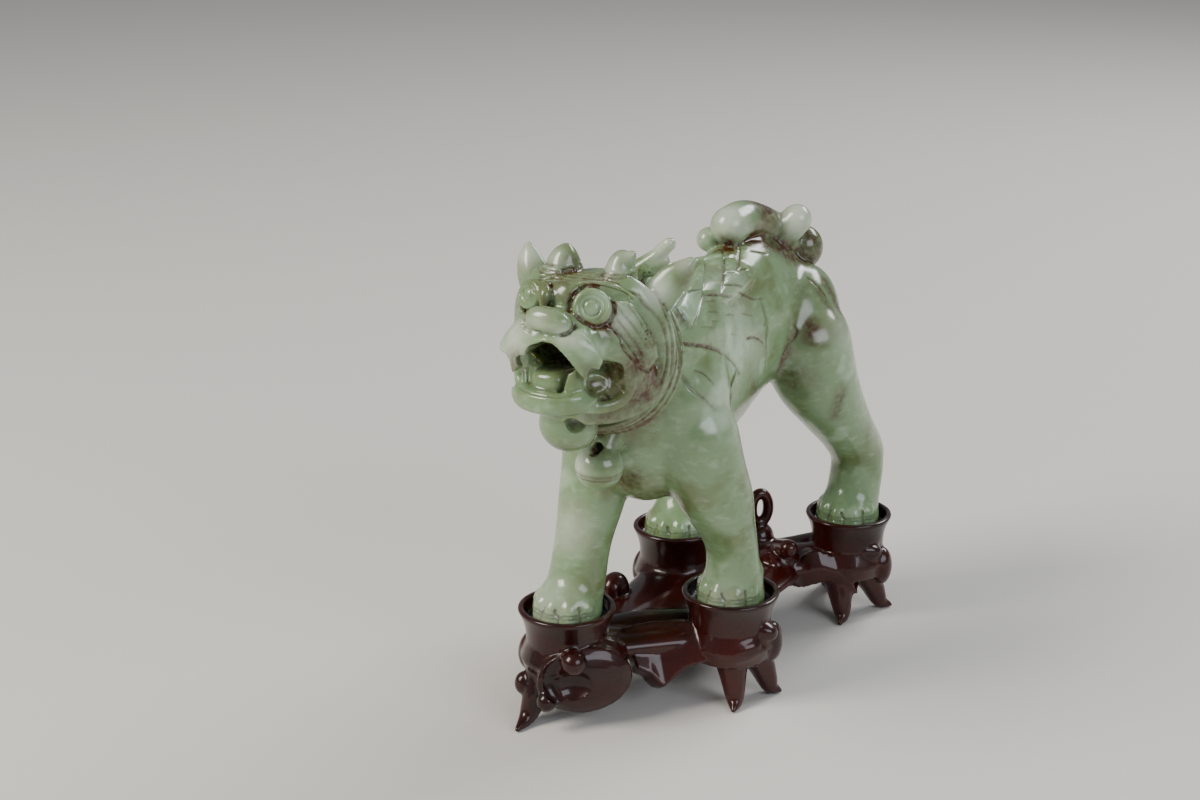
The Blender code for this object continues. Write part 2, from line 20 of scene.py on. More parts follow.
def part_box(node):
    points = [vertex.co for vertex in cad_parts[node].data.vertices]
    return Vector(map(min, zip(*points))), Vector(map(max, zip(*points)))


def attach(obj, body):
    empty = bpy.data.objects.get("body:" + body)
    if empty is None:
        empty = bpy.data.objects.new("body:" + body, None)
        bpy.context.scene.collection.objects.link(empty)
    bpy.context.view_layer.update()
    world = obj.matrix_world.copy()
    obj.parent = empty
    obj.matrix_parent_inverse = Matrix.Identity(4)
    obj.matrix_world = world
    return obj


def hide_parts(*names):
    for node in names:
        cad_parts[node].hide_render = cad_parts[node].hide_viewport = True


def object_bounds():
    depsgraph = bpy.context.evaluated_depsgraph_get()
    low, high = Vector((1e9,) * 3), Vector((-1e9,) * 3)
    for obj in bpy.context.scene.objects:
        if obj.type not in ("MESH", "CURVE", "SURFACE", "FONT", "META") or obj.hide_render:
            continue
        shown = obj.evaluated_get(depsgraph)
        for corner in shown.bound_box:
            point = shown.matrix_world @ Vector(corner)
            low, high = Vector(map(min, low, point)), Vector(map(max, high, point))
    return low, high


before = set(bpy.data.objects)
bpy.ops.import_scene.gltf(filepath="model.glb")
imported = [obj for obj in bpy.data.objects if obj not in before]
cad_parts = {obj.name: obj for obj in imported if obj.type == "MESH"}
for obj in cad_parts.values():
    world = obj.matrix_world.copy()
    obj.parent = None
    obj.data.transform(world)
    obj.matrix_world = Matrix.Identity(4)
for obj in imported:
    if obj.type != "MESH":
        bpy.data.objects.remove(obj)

CAD_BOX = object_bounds()
MM = 0.001
# The middle of the whole carving in the carver's own frame, whose origin lies under the back.
CARVER_MIDDLE = Vector((0.82, -12.32, 0.0))
IDENTITY = Matrix.Identity(4)

# How the stone is worked, in millimetres.
FLAP_REACH = 24.0  # no part of a lock lies further from its middle
FLAP_EDGE = 0.5  # the width of the slope at a lock's edge
FACE_DEPTH = 1.2  # how far a place may lie from the plane of a face that is turned
FULL_CREASE = 0.16  # a hollow this deep holds as much brown as it can
# A lock and a turned face take only what looks their way, by the cosine of the angle.
FLAP_FACING, FACE_FACING = 0.25, 0.3
# How the colour spreads.
STAIN_SPREAD = 1.7  # brown reaches this much further than the line that it settled in
CLOUD_EDGE = 1.25  # a cloud ends at this share of its radius
CLOUD_FALL = 1.2  # above 1 it fades sooner from its middle

log = logging.getLogger("jade_lion")

Point = Sequence[float]


# Tools ------------------------------------------------------------------------


class Mark(Enum):
    """The three ways in which the stone's colour is dressed."""

    # Russet: the stone's own stains, and painted shade inside the mouth and at its corners.
    STAIN = 0
    PALE = 1
    DARK = 2


def srgb(code: str) -> tuple[float, float, float, float]:
    """A colour for a shader.

    Args:
        code: sRGB hex digits, such as "#8fa287".

    Returns:
        The colour in linear light, with alpha 1.
    """
    digits = code.lstrip("#")
    values = [int(digits[i : i + 2], 16) / 255 for i in (0, 2, 4)]
    linear = [v / 12.92 if v <= 0.04045 else ((v + 0.055) / 1.055) ** 2.4 for v in values]
    return (linear[0], linear[1], linear[2], 1.0)


def plug(node: bpy.types.Node, inputs: dict) -> None:
    """Set some sockets of a node.

    Args:
        node: The node.
        inputs: Socket names or numbers, each with a value or with a socket to link.
    """
    for name, value in inputs.items():
        if isinstance(value, bpy.types.NodeSocket):
            node.id_data.links.new(value, node.inputs[name])
        else:
            node.inputs[name].default_value = value


def add_node(
    tree: bpy.types.NodeTree,
    kind: str,
    settings: dict | None = None,
    inputs: dict | None = None,
) -> bpy.types.Node:
    """Add one shader node.

    Args:
        tree: The material's node tree.
        kind: The node's type name.
        settings: Properties of the node.
        inputs: Socket names or numbers, each with a value or with a socket to link.

    Returns:
        The new node.
    """
    node = tree.nodes.new(kind)
    for name, value in (settings or {}).items():
        setattr(node, name, value)
    plug(node, inputs or {})
    return node


def start_material(name: str) -> tuple[bpy.types.Material, bpy.types.Node]:
    """Start a material.

    Args:
        name: Its name.

    Returns:
        The material and its shader.
    """
    material = bpy.data.materials.new(name)
    material.use_nodes = True
    return material, material.node_tree.nodes["Principled BSDF"]


def ramp(
    tree: bpy.types.NodeTree, factor: bpy.types.NodeSocket, stops: Iterable[tuple[float, str]]
) -> bpy.types.NodeSocket:
    """Turn a number into a colour.

    Args:
        tree: The material's node tree.
        factor: The number, from 0 to 1.
        stops: Places and sRGB hex colours.

    Returns:
        The colour socket.
    """
    node = add_node(tree, "ShaderNodeValToRGB", inputs={"Fac": factor})
    stops = list(stops)
    while len(node.color_ramp.elements) < len(stops):
        node.color_ramp.elements.new(0.5)
    for element, (place, colour) in zip(node.color_ramp.elements, stops):
        element.position = place
        element.color = srgb(colour)
    return node.outputs["Color"]


def pick(obj: bpy.types.Object) -> None:
    """Select one object alone and make it the active one.

    Args:
        obj: The object.
    """
    bpy.ops.object.select_all(action="DESELECT")
    obj.select_set(True)
    bpy.context.view_layer.objects.active = obj


def finish_with(obj: bpy.types.Object, kind: str, **settings: object) -> None:
    """Add a modifier to an object and apply it.

    Args:
        obj: The object.
        kind: The modifier's type.
        settings: The modifier's properties.
    """
    pick(obj)
    modifier = obj.modifiers.new(kind.title(), kind)
    for name, value in settings.items():
        setattr(modifier, name, value)
    bpy.ops.object.modifier_apply(modifier=modifier.name)


def face_outwards(obj: bpy.types.Object) -> None:
    """Turn every face of a closed mesh outwards.

    Args:
        obj: The object.
    """
    pick(obj)
    bpy.ops.object.mode_set(mode="EDIT")
    bpy.ops.mesh.select_all(action="SELECT")
    bpy.ops.mesh.normals_make_consistent(inside=False)
    bpy.ops.object.mode_set(mode="OBJECT")


def cut(obj: bpy.types.Object, tool: bpy.types.Object, operation: str = "DIFFERENCE") -> None:
    """Take a closed tool out of a closed object, or add it, and drop the tool.

    Args:
        obj: The object that is cut.
        tool: The closed shape.
        operation: DIFFERENCE or UNION.
    """
    face_outwards(tool)
    finish_with(obj, "BOOLEAN", object=tool, operation=operation, solver="MANIFOLD")
    bpy.data.objects.remove(tool)


def level_off(obj: bpy.types.Object, height: float) -> None:
    """Saw a closed object level at a height, and drop what is below it.

    Args:
        obj: The object.
        height: Where it is sawn.
    """
    pick(obj)
    bpy.ops.object.mode_set(mode="EDIT")
    bpy.ops.mesh.select_all(action="SELECT")
    bpy.ops.mesh.bisect(plane_co=(0, 0, height), plane_no=(0, 0, 1), use_fill=True,
                        clear_inner=True)
    bpy.ops.object.mode_set(mode="OBJECT")


def thin_out(obj: bpy.types.Object, triangles: int) -> None:
    """Bring an object down to a number of triangles, where it has more.

    Args:
        obj: The object.
        triangles: The most that it may keep.
    """
    obj.data.calc_loop_triangles()
    share = triangles / len(obj.data.loop_triangles)
    if share < 1:
        finish_with(obj, "DECIMATE", ratio=share)


def points_of(obj: bpy.types.Object) -> np.ndarray:
    """The places of an object's vertices, one row each.

    Args:
        obj: The object.

    Returns:
        The places.
    """
    points = np.empty(len(obj.data.vertices) * 3, dtype=np.float32)
    obj.data.vertices.foreach_get("co", points)
    return points.reshape(-1, 3).astype(float)


def move_points(obj: bpy.types.Object, points: np.ndarray) -> None:
    """Put an object's vertices at new places."""
    obj.data.vertices.foreach_set("co", points.astype(np.float32).ravel())
    obj.data.update()


def smooth_path(rows: Iterable[Point], steps: int = 8) -> np.ndarray:
    """Lead a smooth curve through some points.

    Args:
        rows: The points, with any number of values each.
        steps: New points for each stretch.

    Returns:
        The curve's points, one row each.
    """
    knots = np.array([tuple(row) for row in rows], dtype=float)
    knots = np.vstack([2 * knots[0] - knots[1], knots, 2 * knots[-1] - knots[-2]])
    path = []
    for before, a, b, after in zip(knots, knots[1:], knots[2:], knots[3:]):
        for step in range(steps):
            t = step / steps
            path.append(
                (2 * a + (b - before) * t
                 + (2 * before - 5 * a + 4 * b - after) * t * t
                 + (3 * a - before - 3 * b + after) * t**3) / 2
            )
    return np.array([*path, knots[-2]])


def on_side(side: int, rows: Iterable[Point], middle: float = 0.0) -> list[Point]:
    """Take rows of the left side, whose first value is X, to a side.

    Args:
        side: 1 for the left side and -1 for the right one.
        rows: The rows.
        middle: The X that they are mirrored across.

    Returns:
        The rows on that side.
    """
    return [(middle + side * (x - middle), *rest) for x, *rest in rows]


def unit(vectors: np.ndarray) -> np.ndarray:
    """Vectors of length one, along the last axis."""
    return vectors / np.maximum(np.linalg.norm(vectors, axis=-1, keepdims=True), 1e-9)


def placed(points: np.ndarray, place: Matrix) -> np.ndarray:
    """Points moved by a matrix."""
    grid = np.array(place)
    return points @ grid[:3, :3].T + grid[:3, 3]


class Clay:
    """Closed lumps that overlap until they are fused into one skin."""

    def __init__(self) -> None:
        """Start with no lumps."""
        self.lumps: list[bpy.types.Object] = []

    def keep(self, obj: bpy.types.Object) -> bpy.types.Object:
        """Count an object among the lumps and return it."""
        self.lumps.append(obj)
        return obj

    def ball(
        self,
        centre: Point,
        radii: Point,
        turn: Point = (0.0, 0.0, 0.0),
        place: Matrix = IDENTITY,
        sides: int = 48,
        boxy: float = 2.0,
    ) -> bpy.types.Object:
        """Add an egg-shaped lump.

        Args:
            centre: Its middle.
            radii: Half its length along each of its own axes.
            turn: Its turn about X, Y and Z in degrees.
            place: The frame that these are given in.
            sides: How many facets run round it.
            boxy: 2 for an ellipsoid, more for flatter faces.

        Returns:
            The lump.
        """
        bpy.ops.mesh.primitive_uv_sphere_add(segments=sides, ring_count=sides * 7 // 12)
        obj = self.keep(bpy.context.object)
        if boxy != 2.0:
            points = points_of(obj)
            points /= (np.abs(points) ** boxy).sum(axis=1, keepdims=True) ** (1 / boxy)
            move_points(obj, points)
        spin = Euler([math.radians(angle) for angle in turn]).to_matrix()
        obj.data.transform(place @ Matrix.LocRotScale(Vector(centre), spin, Vector(radii)))
        return obj

    def limb(
        self,
        points: Iterable[Point],
        flat: float = 1.0,
        facing: Point = (0.0, 0.0, 1.0),
        place: Matrix = IDENTITY,
        sides: int = 32,
        square: float = 2.0,
        steps: int = 8,
    ) -> bpy.types.Object:
        """Draw a round-ended limb along a smooth curve.

        Args:
            points: (x, y, z, radius) rows, with the flatness there as an optional fifth.
            flat: The limb's thickness along `facing` over its width.
            facing: The way its flat side looks.
            place: The frame that these are given in.
            sides: How many facets run round it.
            square: 2 for an oval section, more for flatter sides.
            steps: Rings for each stretch of the curve.

        Returns:
            The lump.
        """
        path = smooth_path([(*p, flat)[:5] for p in points], steps)
        spine, radius, thin = path[:, :3], path[:, 3], path[:, 4]
        ahead = np.vstack([spine[1:], spine[-1:]]) - np.vstack([spine[:1], spine[:-1]])
        ahead = unit(ahead)
        angles = np.radians((15, 30, 45, 60, 74, 86))
        cap = (np.sin(angles), np.cos(angles))
        rows = []
        for end, sign in ((0, -1.0), (-1, 1.0)):
            reach = radius[end] * min(1.0, thin[end])
            rows.append([
                np.hstack([spine[end] + sign * ahead[end] * reach * out,
                           radius[end] * inner, thin[end], ahead[end]])
                for out, inner in zip(*cap)
            ])
        middle = np.hstack([spine, radius[:, None], thin[:, None], ahead])
        rings = np.vstack([rows[0][::-1], middle, rows[1]])
        tips = (spine[0] - ahead[0] * radius[0] * min(1.0, thin[0]),
                spine[-1] + ahead[-1] * radius[-1] * min(1.0, thin[-1]))

        count = len(rings)
        bpy.ops.mesh.primitive_uv_sphere_add(segments=sides, ring_count=count + 1)
        obj = self.keep(bpy.context.object)
        start = points_of(obj)
        row = np.rint(np.arccos(np.clip(start[:, 2], -1, 1)) / math.pi * (count + 1)).astype(int)
        turn = np.arctan2(start[:, 1], start[:, 0])
        ring = rings[np.clip(row - 1, 0, count - 1)]
        side = unit(np.cross(ring[:, 5:8], np.array(facing, dtype=float)))
        rise = unit(np.cross(side, ring[:, 5:8]))
        across, over = np.cos(turn), np.sin(turn)
        swell = (np.abs(across) ** square + np.abs(over) ** square) ** (-1 / square)
        points = ring[:, :3] + ring[:, 3:4] * swell[:, None] * (
            side * across[:, None] + rise * (over * ring[:, 4])[:, None]
        )
        points[row == 0] = tips[0]
        points[row == count + 1] = tips[1]
        move_points(obj, placed(points, place))
        return obj

    def hoop(
        self,
        centre: Point,
        radii: Point,
        thickness: float,
        place: Matrix = IDENTITY,
        flat: float = 1.0,
    ) -> bpy.types.Object:
        """Add an oval ring round the Y axis.

        Args:
            centre: Its middle.
            radii: Its half width and half height.
            thickness: The bar's radius.
            place: The frame that these are given in.
            flat: The bar's depth along the axis over its thickness.

        Returns:
            The lump.
        """
        bars, sides = 128, 24
        bpy.ops.mesh.primitive_torus_add(
            major_segments=bars, minor_segments=sides, major_radius=1.0, minor_radius=0.2
        )
        obj = self.keep(bpy.context.object)
        index = np.arange(bars * sides)
        turn = math.tau * (index // sides) / bars
        spin = math.tau * (index % sides) / sides
        bar = thickness * np.cos(spin)
        points = np.stack([
            centre[0] + (radii[0] + bar) * np.sin(turn),
            centre[1] + thickness * flat * np.sin(spin),
            centre[2] + (radii[1] + bar) * np.cos(turn),
        ], axis=1)
        move_points(obj, placed(points, place))
        return obj

    def drum(
        self,
        base: Point,
        top: Point,
        radii: Point,
        place: Matrix = IDENTITY,
        sides: int = 48,
    ) -> bpy.types.Object:
        """Add a round bar with a radius at each end.

        Args:
            base: The middle of its first end.
            top: The middle of its other end.
            radii: The radius at each end.
            place: The frame that these are given in.
            sides: How many facets run round it.

        Returns:
            The lump.
        """
        axis = Vector(top) - Vector(base)
        bpy.ops.mesh.primitive_cone_add(
            vertices=sides, radius1=radii[0], radius2=radii[1], depth=axis.length
        )
        obj = self.keep(bpy.context.object)
        spin = axis.to_track_quat("Z", "Y")
        middle = (Vector(base) + Vector(top)) / 2
        obj.data.transform(place @ Matrix.LocRotScale(middle, spin, None))
        return obj

    def turned(
        self, profile: Iterable[tuple[float, float]], place: Matrix = IDENTITY, sides: int = 48
    ) -> bpy.types.Object:
        """Turn a round solid about its Z axis.

        Args:
            profile: (radius, height) pairs from foot to top.
            place: Where its axis stands.
            sides: How many facets run round it.

        Returns:
            The solid.
        """
        rows = list(profile)
        radius, height = rows[0]
        bpy.ops.object.select_all(action="DESELECT")
        bpy.ops.mesh.primitive_circle_add(
            vertices=sides, radius=radius, fill_type="NGON", location=(0, 0, height))
        obj = self.keep(bpy.context.object)
        bpy.ops.object.mode_set(mode="EDIT")
        bpy.ops.mesh.select_all(action="SELECT")
        for wide, high in rows[1:]:
            bpy.ops.mesh.extrude_region_move(
                TRANSFORM_OT_translate={"value": (0, 0, high - height)})
            share = wide / radius
            bpy.ops.transform.resize(value=(share, share, 1.0))
            radius, height = wide, high
        bpy.ops.object.mode_set(mode="OBJECT")
        bpy.ops.object.transform_apply(location=True, rotation=True, scale=True)
        face_outwards(obj)
        obj.data.transform(place)
        return obj

    def slab(
        self,
        edges: Iterable[Iterable[Point]],
        thickness: float,
        core: Point,
        place: Matrix = IDENTITY,
        steps: int = 5,
        crisp: bool = False,
    ) -> bpy.types.Object:
        """Spread a skin over several edges that run side by side, and thicken it inwards.

        Args:
            edges: The edges, each with the same number of points.
            thickness: How far the slab reaches behind its skin.
            core: A point well behind the skin.
            place: The frame that these are given in.
            steps: Faces for each stretch of an edge.
            crisp: Whether the corners along an edge stay sharp.

        Returns:
            The slab.
        """
        if crisp:
            rails = []
            for edge in edges:
                knots = np.array(edge, dtype=float)
                run = np.linspace(0, len(knots) - 1, (len(knots) - 1) * steps + 1)
                rails.append(np.stack(
                    [np.interp(run, range(len(knots)), knots[:, i]) for i in range(3)], axis=1))
        else:
            rails = [smooth_path(edge, steps) for edge in edges]
        skin = np.stack([smooth_path(across, steps) for across in np.stack(rails, axis=1)])
        rows, columns = skin.shape[:2]
        bpy.ops.object.select_all(action="DESELECT")
        bpy.ops.mesh.primitive_grid_add(x_subdivisions=columns - 1, y_subdivisions=rows - 1)
        obj = self.keep(bpy.context.object)
        move_points(obj, placed(skin.reshape(-1, 3), place))
        outward = sum(face.normal.dot(face.center - place @ Vector(core)) * face.area
                      for face in obj.data.polygons)
        finish_with(obj, "SOLIDIFY", thickness=thickness, offset=-1.0 if outward > 0 else 1.0)
        face_outwards(obj)
        return obj

    def joined(self) -> bpy.types.Object:
        """Make one object of the lumps as they are, and start again without them.

        Returns:
            The object.
        """
        bpy.ops.object.select_all(action="DESELECT")
        for lump in self.lumps:
            lump.select_set(True)
        bpy.context.view_layer.objects.active = self.lumps[0]
        bpy.ops.object.join()
        self.lumps = []
        return bpy.context.object

    def fuse(self, name: str, voxel: float, passes: int) -> bpy.types.Object:
        """Join the lumps into one skin and soften the joins.

        Args:
            name: The new object's name.
            voxel: The fineness of the skin.
            passes: How often the skin is smoothed.

        Returns:
            The fused object.
        """
        obj = self.joined()
        obj.name = name
        finish_with(obj, "REMESH", mode="VOXEL", voxel_size=voxel)
        if passes:
            finish_with(obj, "SMOOTH", factor=0.5, iterations=passes)
        return obj


@dataclass
class Line:
    """A line cut into the stone, with the colour that settled in it.

    Attributes:
        points: Places that the line passes, near the surface.
        width: How far its sides reach from the middle.
        depth: How deep it is, or how high where it is negative.
        stain: How much brown it holds, from 0 to 1.
        taper: The share of its length over which each end fades.
    """

    points: np.ndarray
    width: float
    depth: float
    stain: float = 0.0
    taper: float = 0.2


@dataclass
class Dab:
    """A cloud of colour on the stone; most are its own colour, and a few in the mouth are painted
    shade.

    Attributes:
        centre: Its middle.
        radius: How far it reaches.
        mark: What it colours.
        strength: How strongly it colours its middle, from 0 to 1.
    """

    centre: Point
    radius: float
    mark: Mark
    strength: float


def clouds(spots: dict[Mark, Iterable[Point]], place: Matrix = IDENTITY) -> list[Dab]:
    """Make clouds of colour.

    Args:
        spots: For each mark, rows of x, y, z, radius and strength.
        place: The frame that the rows are given in.

    Returns:
        The clouds.
    """
    return [Dab(tuple(place @ Vector(centre)), radius, mark, strength)
            for mark, rows in spots.items() for *centre, radius, strength in rows]


class Skin:
    """The vertices of a fine mesh, engraved and coloured by place."""

    def __init__(self, obj: bpy.types.Object) -> None:
        """Read the places and normals of a mesh.

        Args:
            obj: The object.
        """
        self.obj = obj
        self.points = points_of(obj)
        normals = np.empty(self.points.size, dtype=np.float32)
        obj.data.vertex_normals.foreach_get("vector", normals)
        self.normals = normals.reshape(-1, 3).astype(float)
        self.tree = BVHTree.FromObject(obj, bpy.context.evaluated_depsgraph_get())

    def settled(self, points: Iterable[Point]) -> np.ndarray:
        """The nearest places on the surface to some points."""
        return np.array([tuple(self.tree.find_nearest(Vector(p))[0]) for p in points])

    def nearness(self, line: np.ndarray, reach: float) -> tuple[np.ndarray, ...]:
        """Measure how near the vertices are to a line.

        Args:
            line: The line's points.
            reach: The greatest distance that matters.

        Returns:
            The near vertices' numbers, their distances, and their share of the way along.
        """
        low, high = line.min(axis=0) - reach, line.max(axis=0) + reach
        near = np.flatnonzero(((self.points > low) & (self.points < high)).all(axis=1))
        spots = self.points[near]
        best = np.full(len(near), np.inf)
        along = np.zeros(len(near))
        for number, (a, b) in enumerate(zip(line, line[1:])):
            run = b - a
            share = np.clip((spots - a) @ run / max(run @ run, 1e-12), 0.0, 1.0)
            gap = np.linalg.norm(spots - a - share[:, None] * run, axis=1)
            closer = gap < best
            best[closer] = gap[closer]
            along[closer] = (number + share[closer]) / (len(line) - 1)
        keep = best < reach
        return near[keep], best[keep], along[keep]

    def strength(self, line: Line, reach: float) -> tuple[np.ndarray, np.ndarray]:
        """How strongly a line acts on the vertices near it.

        Args:
            line: The line.
            reach: How far it acts.

        Returns:
            The vertices' numbers and the strengths, from 0 to 1.
        """
        near, gap, along = self.nearness(line.points, reach)
        force = np.cos(np.clip(gap / reach, 0, 1) * math.pi / 2) ** 2
        if line.taper:
            ends = np.minimum(along, 1 - along) / line.taper
            force = force * np.sqrt(np.clip(ends, 0.0, 1.0))
        return near, force

    def engrave(self, lines: Iterable[Line]) -> None:
        """Cut some lines into the surface.

        Args:
            lines: The lines.
        """
        sink = np.zeros(len(self.points))
        for line in lines:
            near, force = self.strength(line, line.width)
            amount = force * line.depth
            deeper = np.abs(amount) > np.abs(sink[near])
            sink[near[deeper]] = amount[deeper]
        self.points = self.points - self.normals * sink[:, None]
        move_points(self.obj, self.points)

    def press(
        self, centre: Point, axis: Point, radius: float, profile: Callable[[np.ndarray], np.ndarray]
    ) -> None:
        """Turn a round face as on a lathe.

        Args:
            centre: The middle of the face.
            axis: The way that it looks.
            radius: How far the turning reaches.
            profile: Gives the rise at each distance from the middle.
        """
        look = unit(np.array(axis, dtype=float))
        offset = self.points - np.array(centre, dtype=float)
        height = offset @ look
        away = np.linalg.norm(offset - height[:, None] * look, axis=1)
        face = ((away < radius) & (np.abs(height) < FACE_DEPTH)
                & (self.normals @ look > FACE_FACING))
        self.points[face] += look * profile(away[face])[:, None]
        move_points(self.obj, self.points)

    def lay_flap(self, outline: Iterable[Point], way: Point, rise: float) -> None:
        """Raise the surface inside an outline, with a crisp edge.

        Args:
            outline: The corners, near the surface.
            way: The way that the flap looks.
            rise: How far the surface rises inside the outline.
        """
        look = Vector(way).normalized()
        across = look.orthogonal().normalized()
        plane = np.array([across, look.cross(across)])
        corners = np.array([tuple(corner) for corner in outline])
        middle = corners.mean(axis=0)
        offset = self.points - middle
        near = np.flatnonzero((np.linalg.norm(offset, axis=1) < FLAP_REACH)
                              & (self.normals @ np.array(look) > FLAP_FACING))
        spots, flat = offset[near] @ plane.T, (corners - middle) @ plane.T
        inside = np.zeros(len(near), dtype=bool)
        edge = np.full(len(near), np.inf)
        for a, b in zip(flat, np.roll(flat, -1, axis=0)):
            run = b - a
            share = np.clip((spots - a) @ run / (run @ run), 0.0, 1.0)
            edge = np.minimum(edge, np.linalg.norm(spots - a - share[:, None] * run, axis=1))
            crosses = (a[1] > spots[:, 1]) != (b[1] > spots[:, 1])
            reach = a[0] + run[0] * (spots[:, 1] - a[1]) / (run[1] or 1e-9)
            inside ^= crosses & (spots[:, 0] < reach)
        share = np.clip(0.5 + np.where(inside, edge, -edge) / FLAP_EDGE, 0.0, 1.0)
        self.points[near] += self.normals[near] * (rise * share)[:, None]
        move_points(self.obj, self.points)

    def hollows(self, rounds: int = 3) -> np.ndarray:
        """How far each vertex lies in a crease, from 0 to 1.

        Args:
            rounds: How often the surface is averaged to find its creases.

        Returns:
            One value for each vertex.
        """
        edges = np.empty(len(self.obj.data.edges) * 2, dtype=np.int64)
        self.obj.data.edges.foreach_get("vertices", edges)
        a, b = edges.reshape(-1, 2).T
        count = np.bincount(np.concatenate([a, b]), minlength=len(self.points))
        count = np.maximum(count, 1)

        def around(values: np.ndarray) -> np.ndarray:
            """The mean over each vertex's neighbours."""
            total = np.bincount(a, values[b], len(values)) + np.bincount(b, values[a], len(values))
            return total / count

        mean = self.points.copy()
        for _ in range(rounds):
            mean = np.stack([around(mean[:, i]) for i in range(3)], axis=1)
        depth = ((mean - self.points) * self.normals).sum(axis=1)
        for _ in range(2):
            depth = around(depth)
        return np.clip(depth / FULL_CREASE, 0.0, 1.0)

    def colour(self, name: str, lines: Iterable[Line], dabs: Iterable[Dab]) -> None:
        """Store the dressed colours with the mesh.

        Args:
            name: The attribute's name.
            lines: Lines that hold brown.
            dabs: Clouds of colour.
        """
        marks = np.zeros((len(self.points), 4))
        marks[:, 3] = self.hollows()
        for line in lines:
            if line.stain:
                near, force = self.strength(line, line.width * STAIN_SPREAD)
                lay = marks[near, Mark.STAIN.value]
                marks[near, Mark.STAIN.value] = np.maximum(lay, force * line.stain)
        for dab in dabs:
            gap = np.linalg.norm(self.points - np.array(dab.centre, dtype=float), axis=1)
            force = np.clip(CLOUD_EDGE - gap / dab.radius, 0.0, 1.0) ** CLOUD_FALL * dab.strength
            marks[:, dab.mark.value] = 1 - (1 - marks[:, dab.mark.value]) * (1 - force)
        data = self.obj.data.color_attributes.new(name, "FLOAT_COLOR", "POINT")
        data.data.foreach_set("color", marks.astype(np.float32).ravel())


def dress(obj: bpy.types.Object, material: bpy.types.Material) -> None:
    """Give every face of an object one material, in place of what its tools left on it."""
    obj.data.materials.clear()
    obj.data.materials.append(material)


def set_in_frame(obj: bpy.types.Object, name: str, node: str) -> bpy.types.Object:
    """Move a finished piece from the carver's frame to the row's, inside its node's box.

    Args:
        obj: The finished piece in millimetres.
        name: Its name.
        node: The CAD node that it stands for.

    Returns:
        The piece.
    """
    low, high = CAD_BOX
    middle = (low + high) / 2
    origin = Vector((middle.x, middle.y, low.z)) - CARVER_MIDDLE * MM
    obj.data.transform(Matrix.Translation(origin) @ Matrix.Scale(MM, 4))
    floor, roof = (np.array(corner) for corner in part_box(node))
    move_points(obj, np.clip(points_of(obj), floor, roof))
    pick(obj)
    bpy.ops.object.shade_smooth()
    obj.name = name
    obj.data.name = name
    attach(obj, "root")
    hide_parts(node)
    obj.data.calc_loop_triangles()
    log.info("%s: %d triangles", name, len(obj.data.loop_triangles))
    return obj


# Finishes ---------------------------------------------------------------------


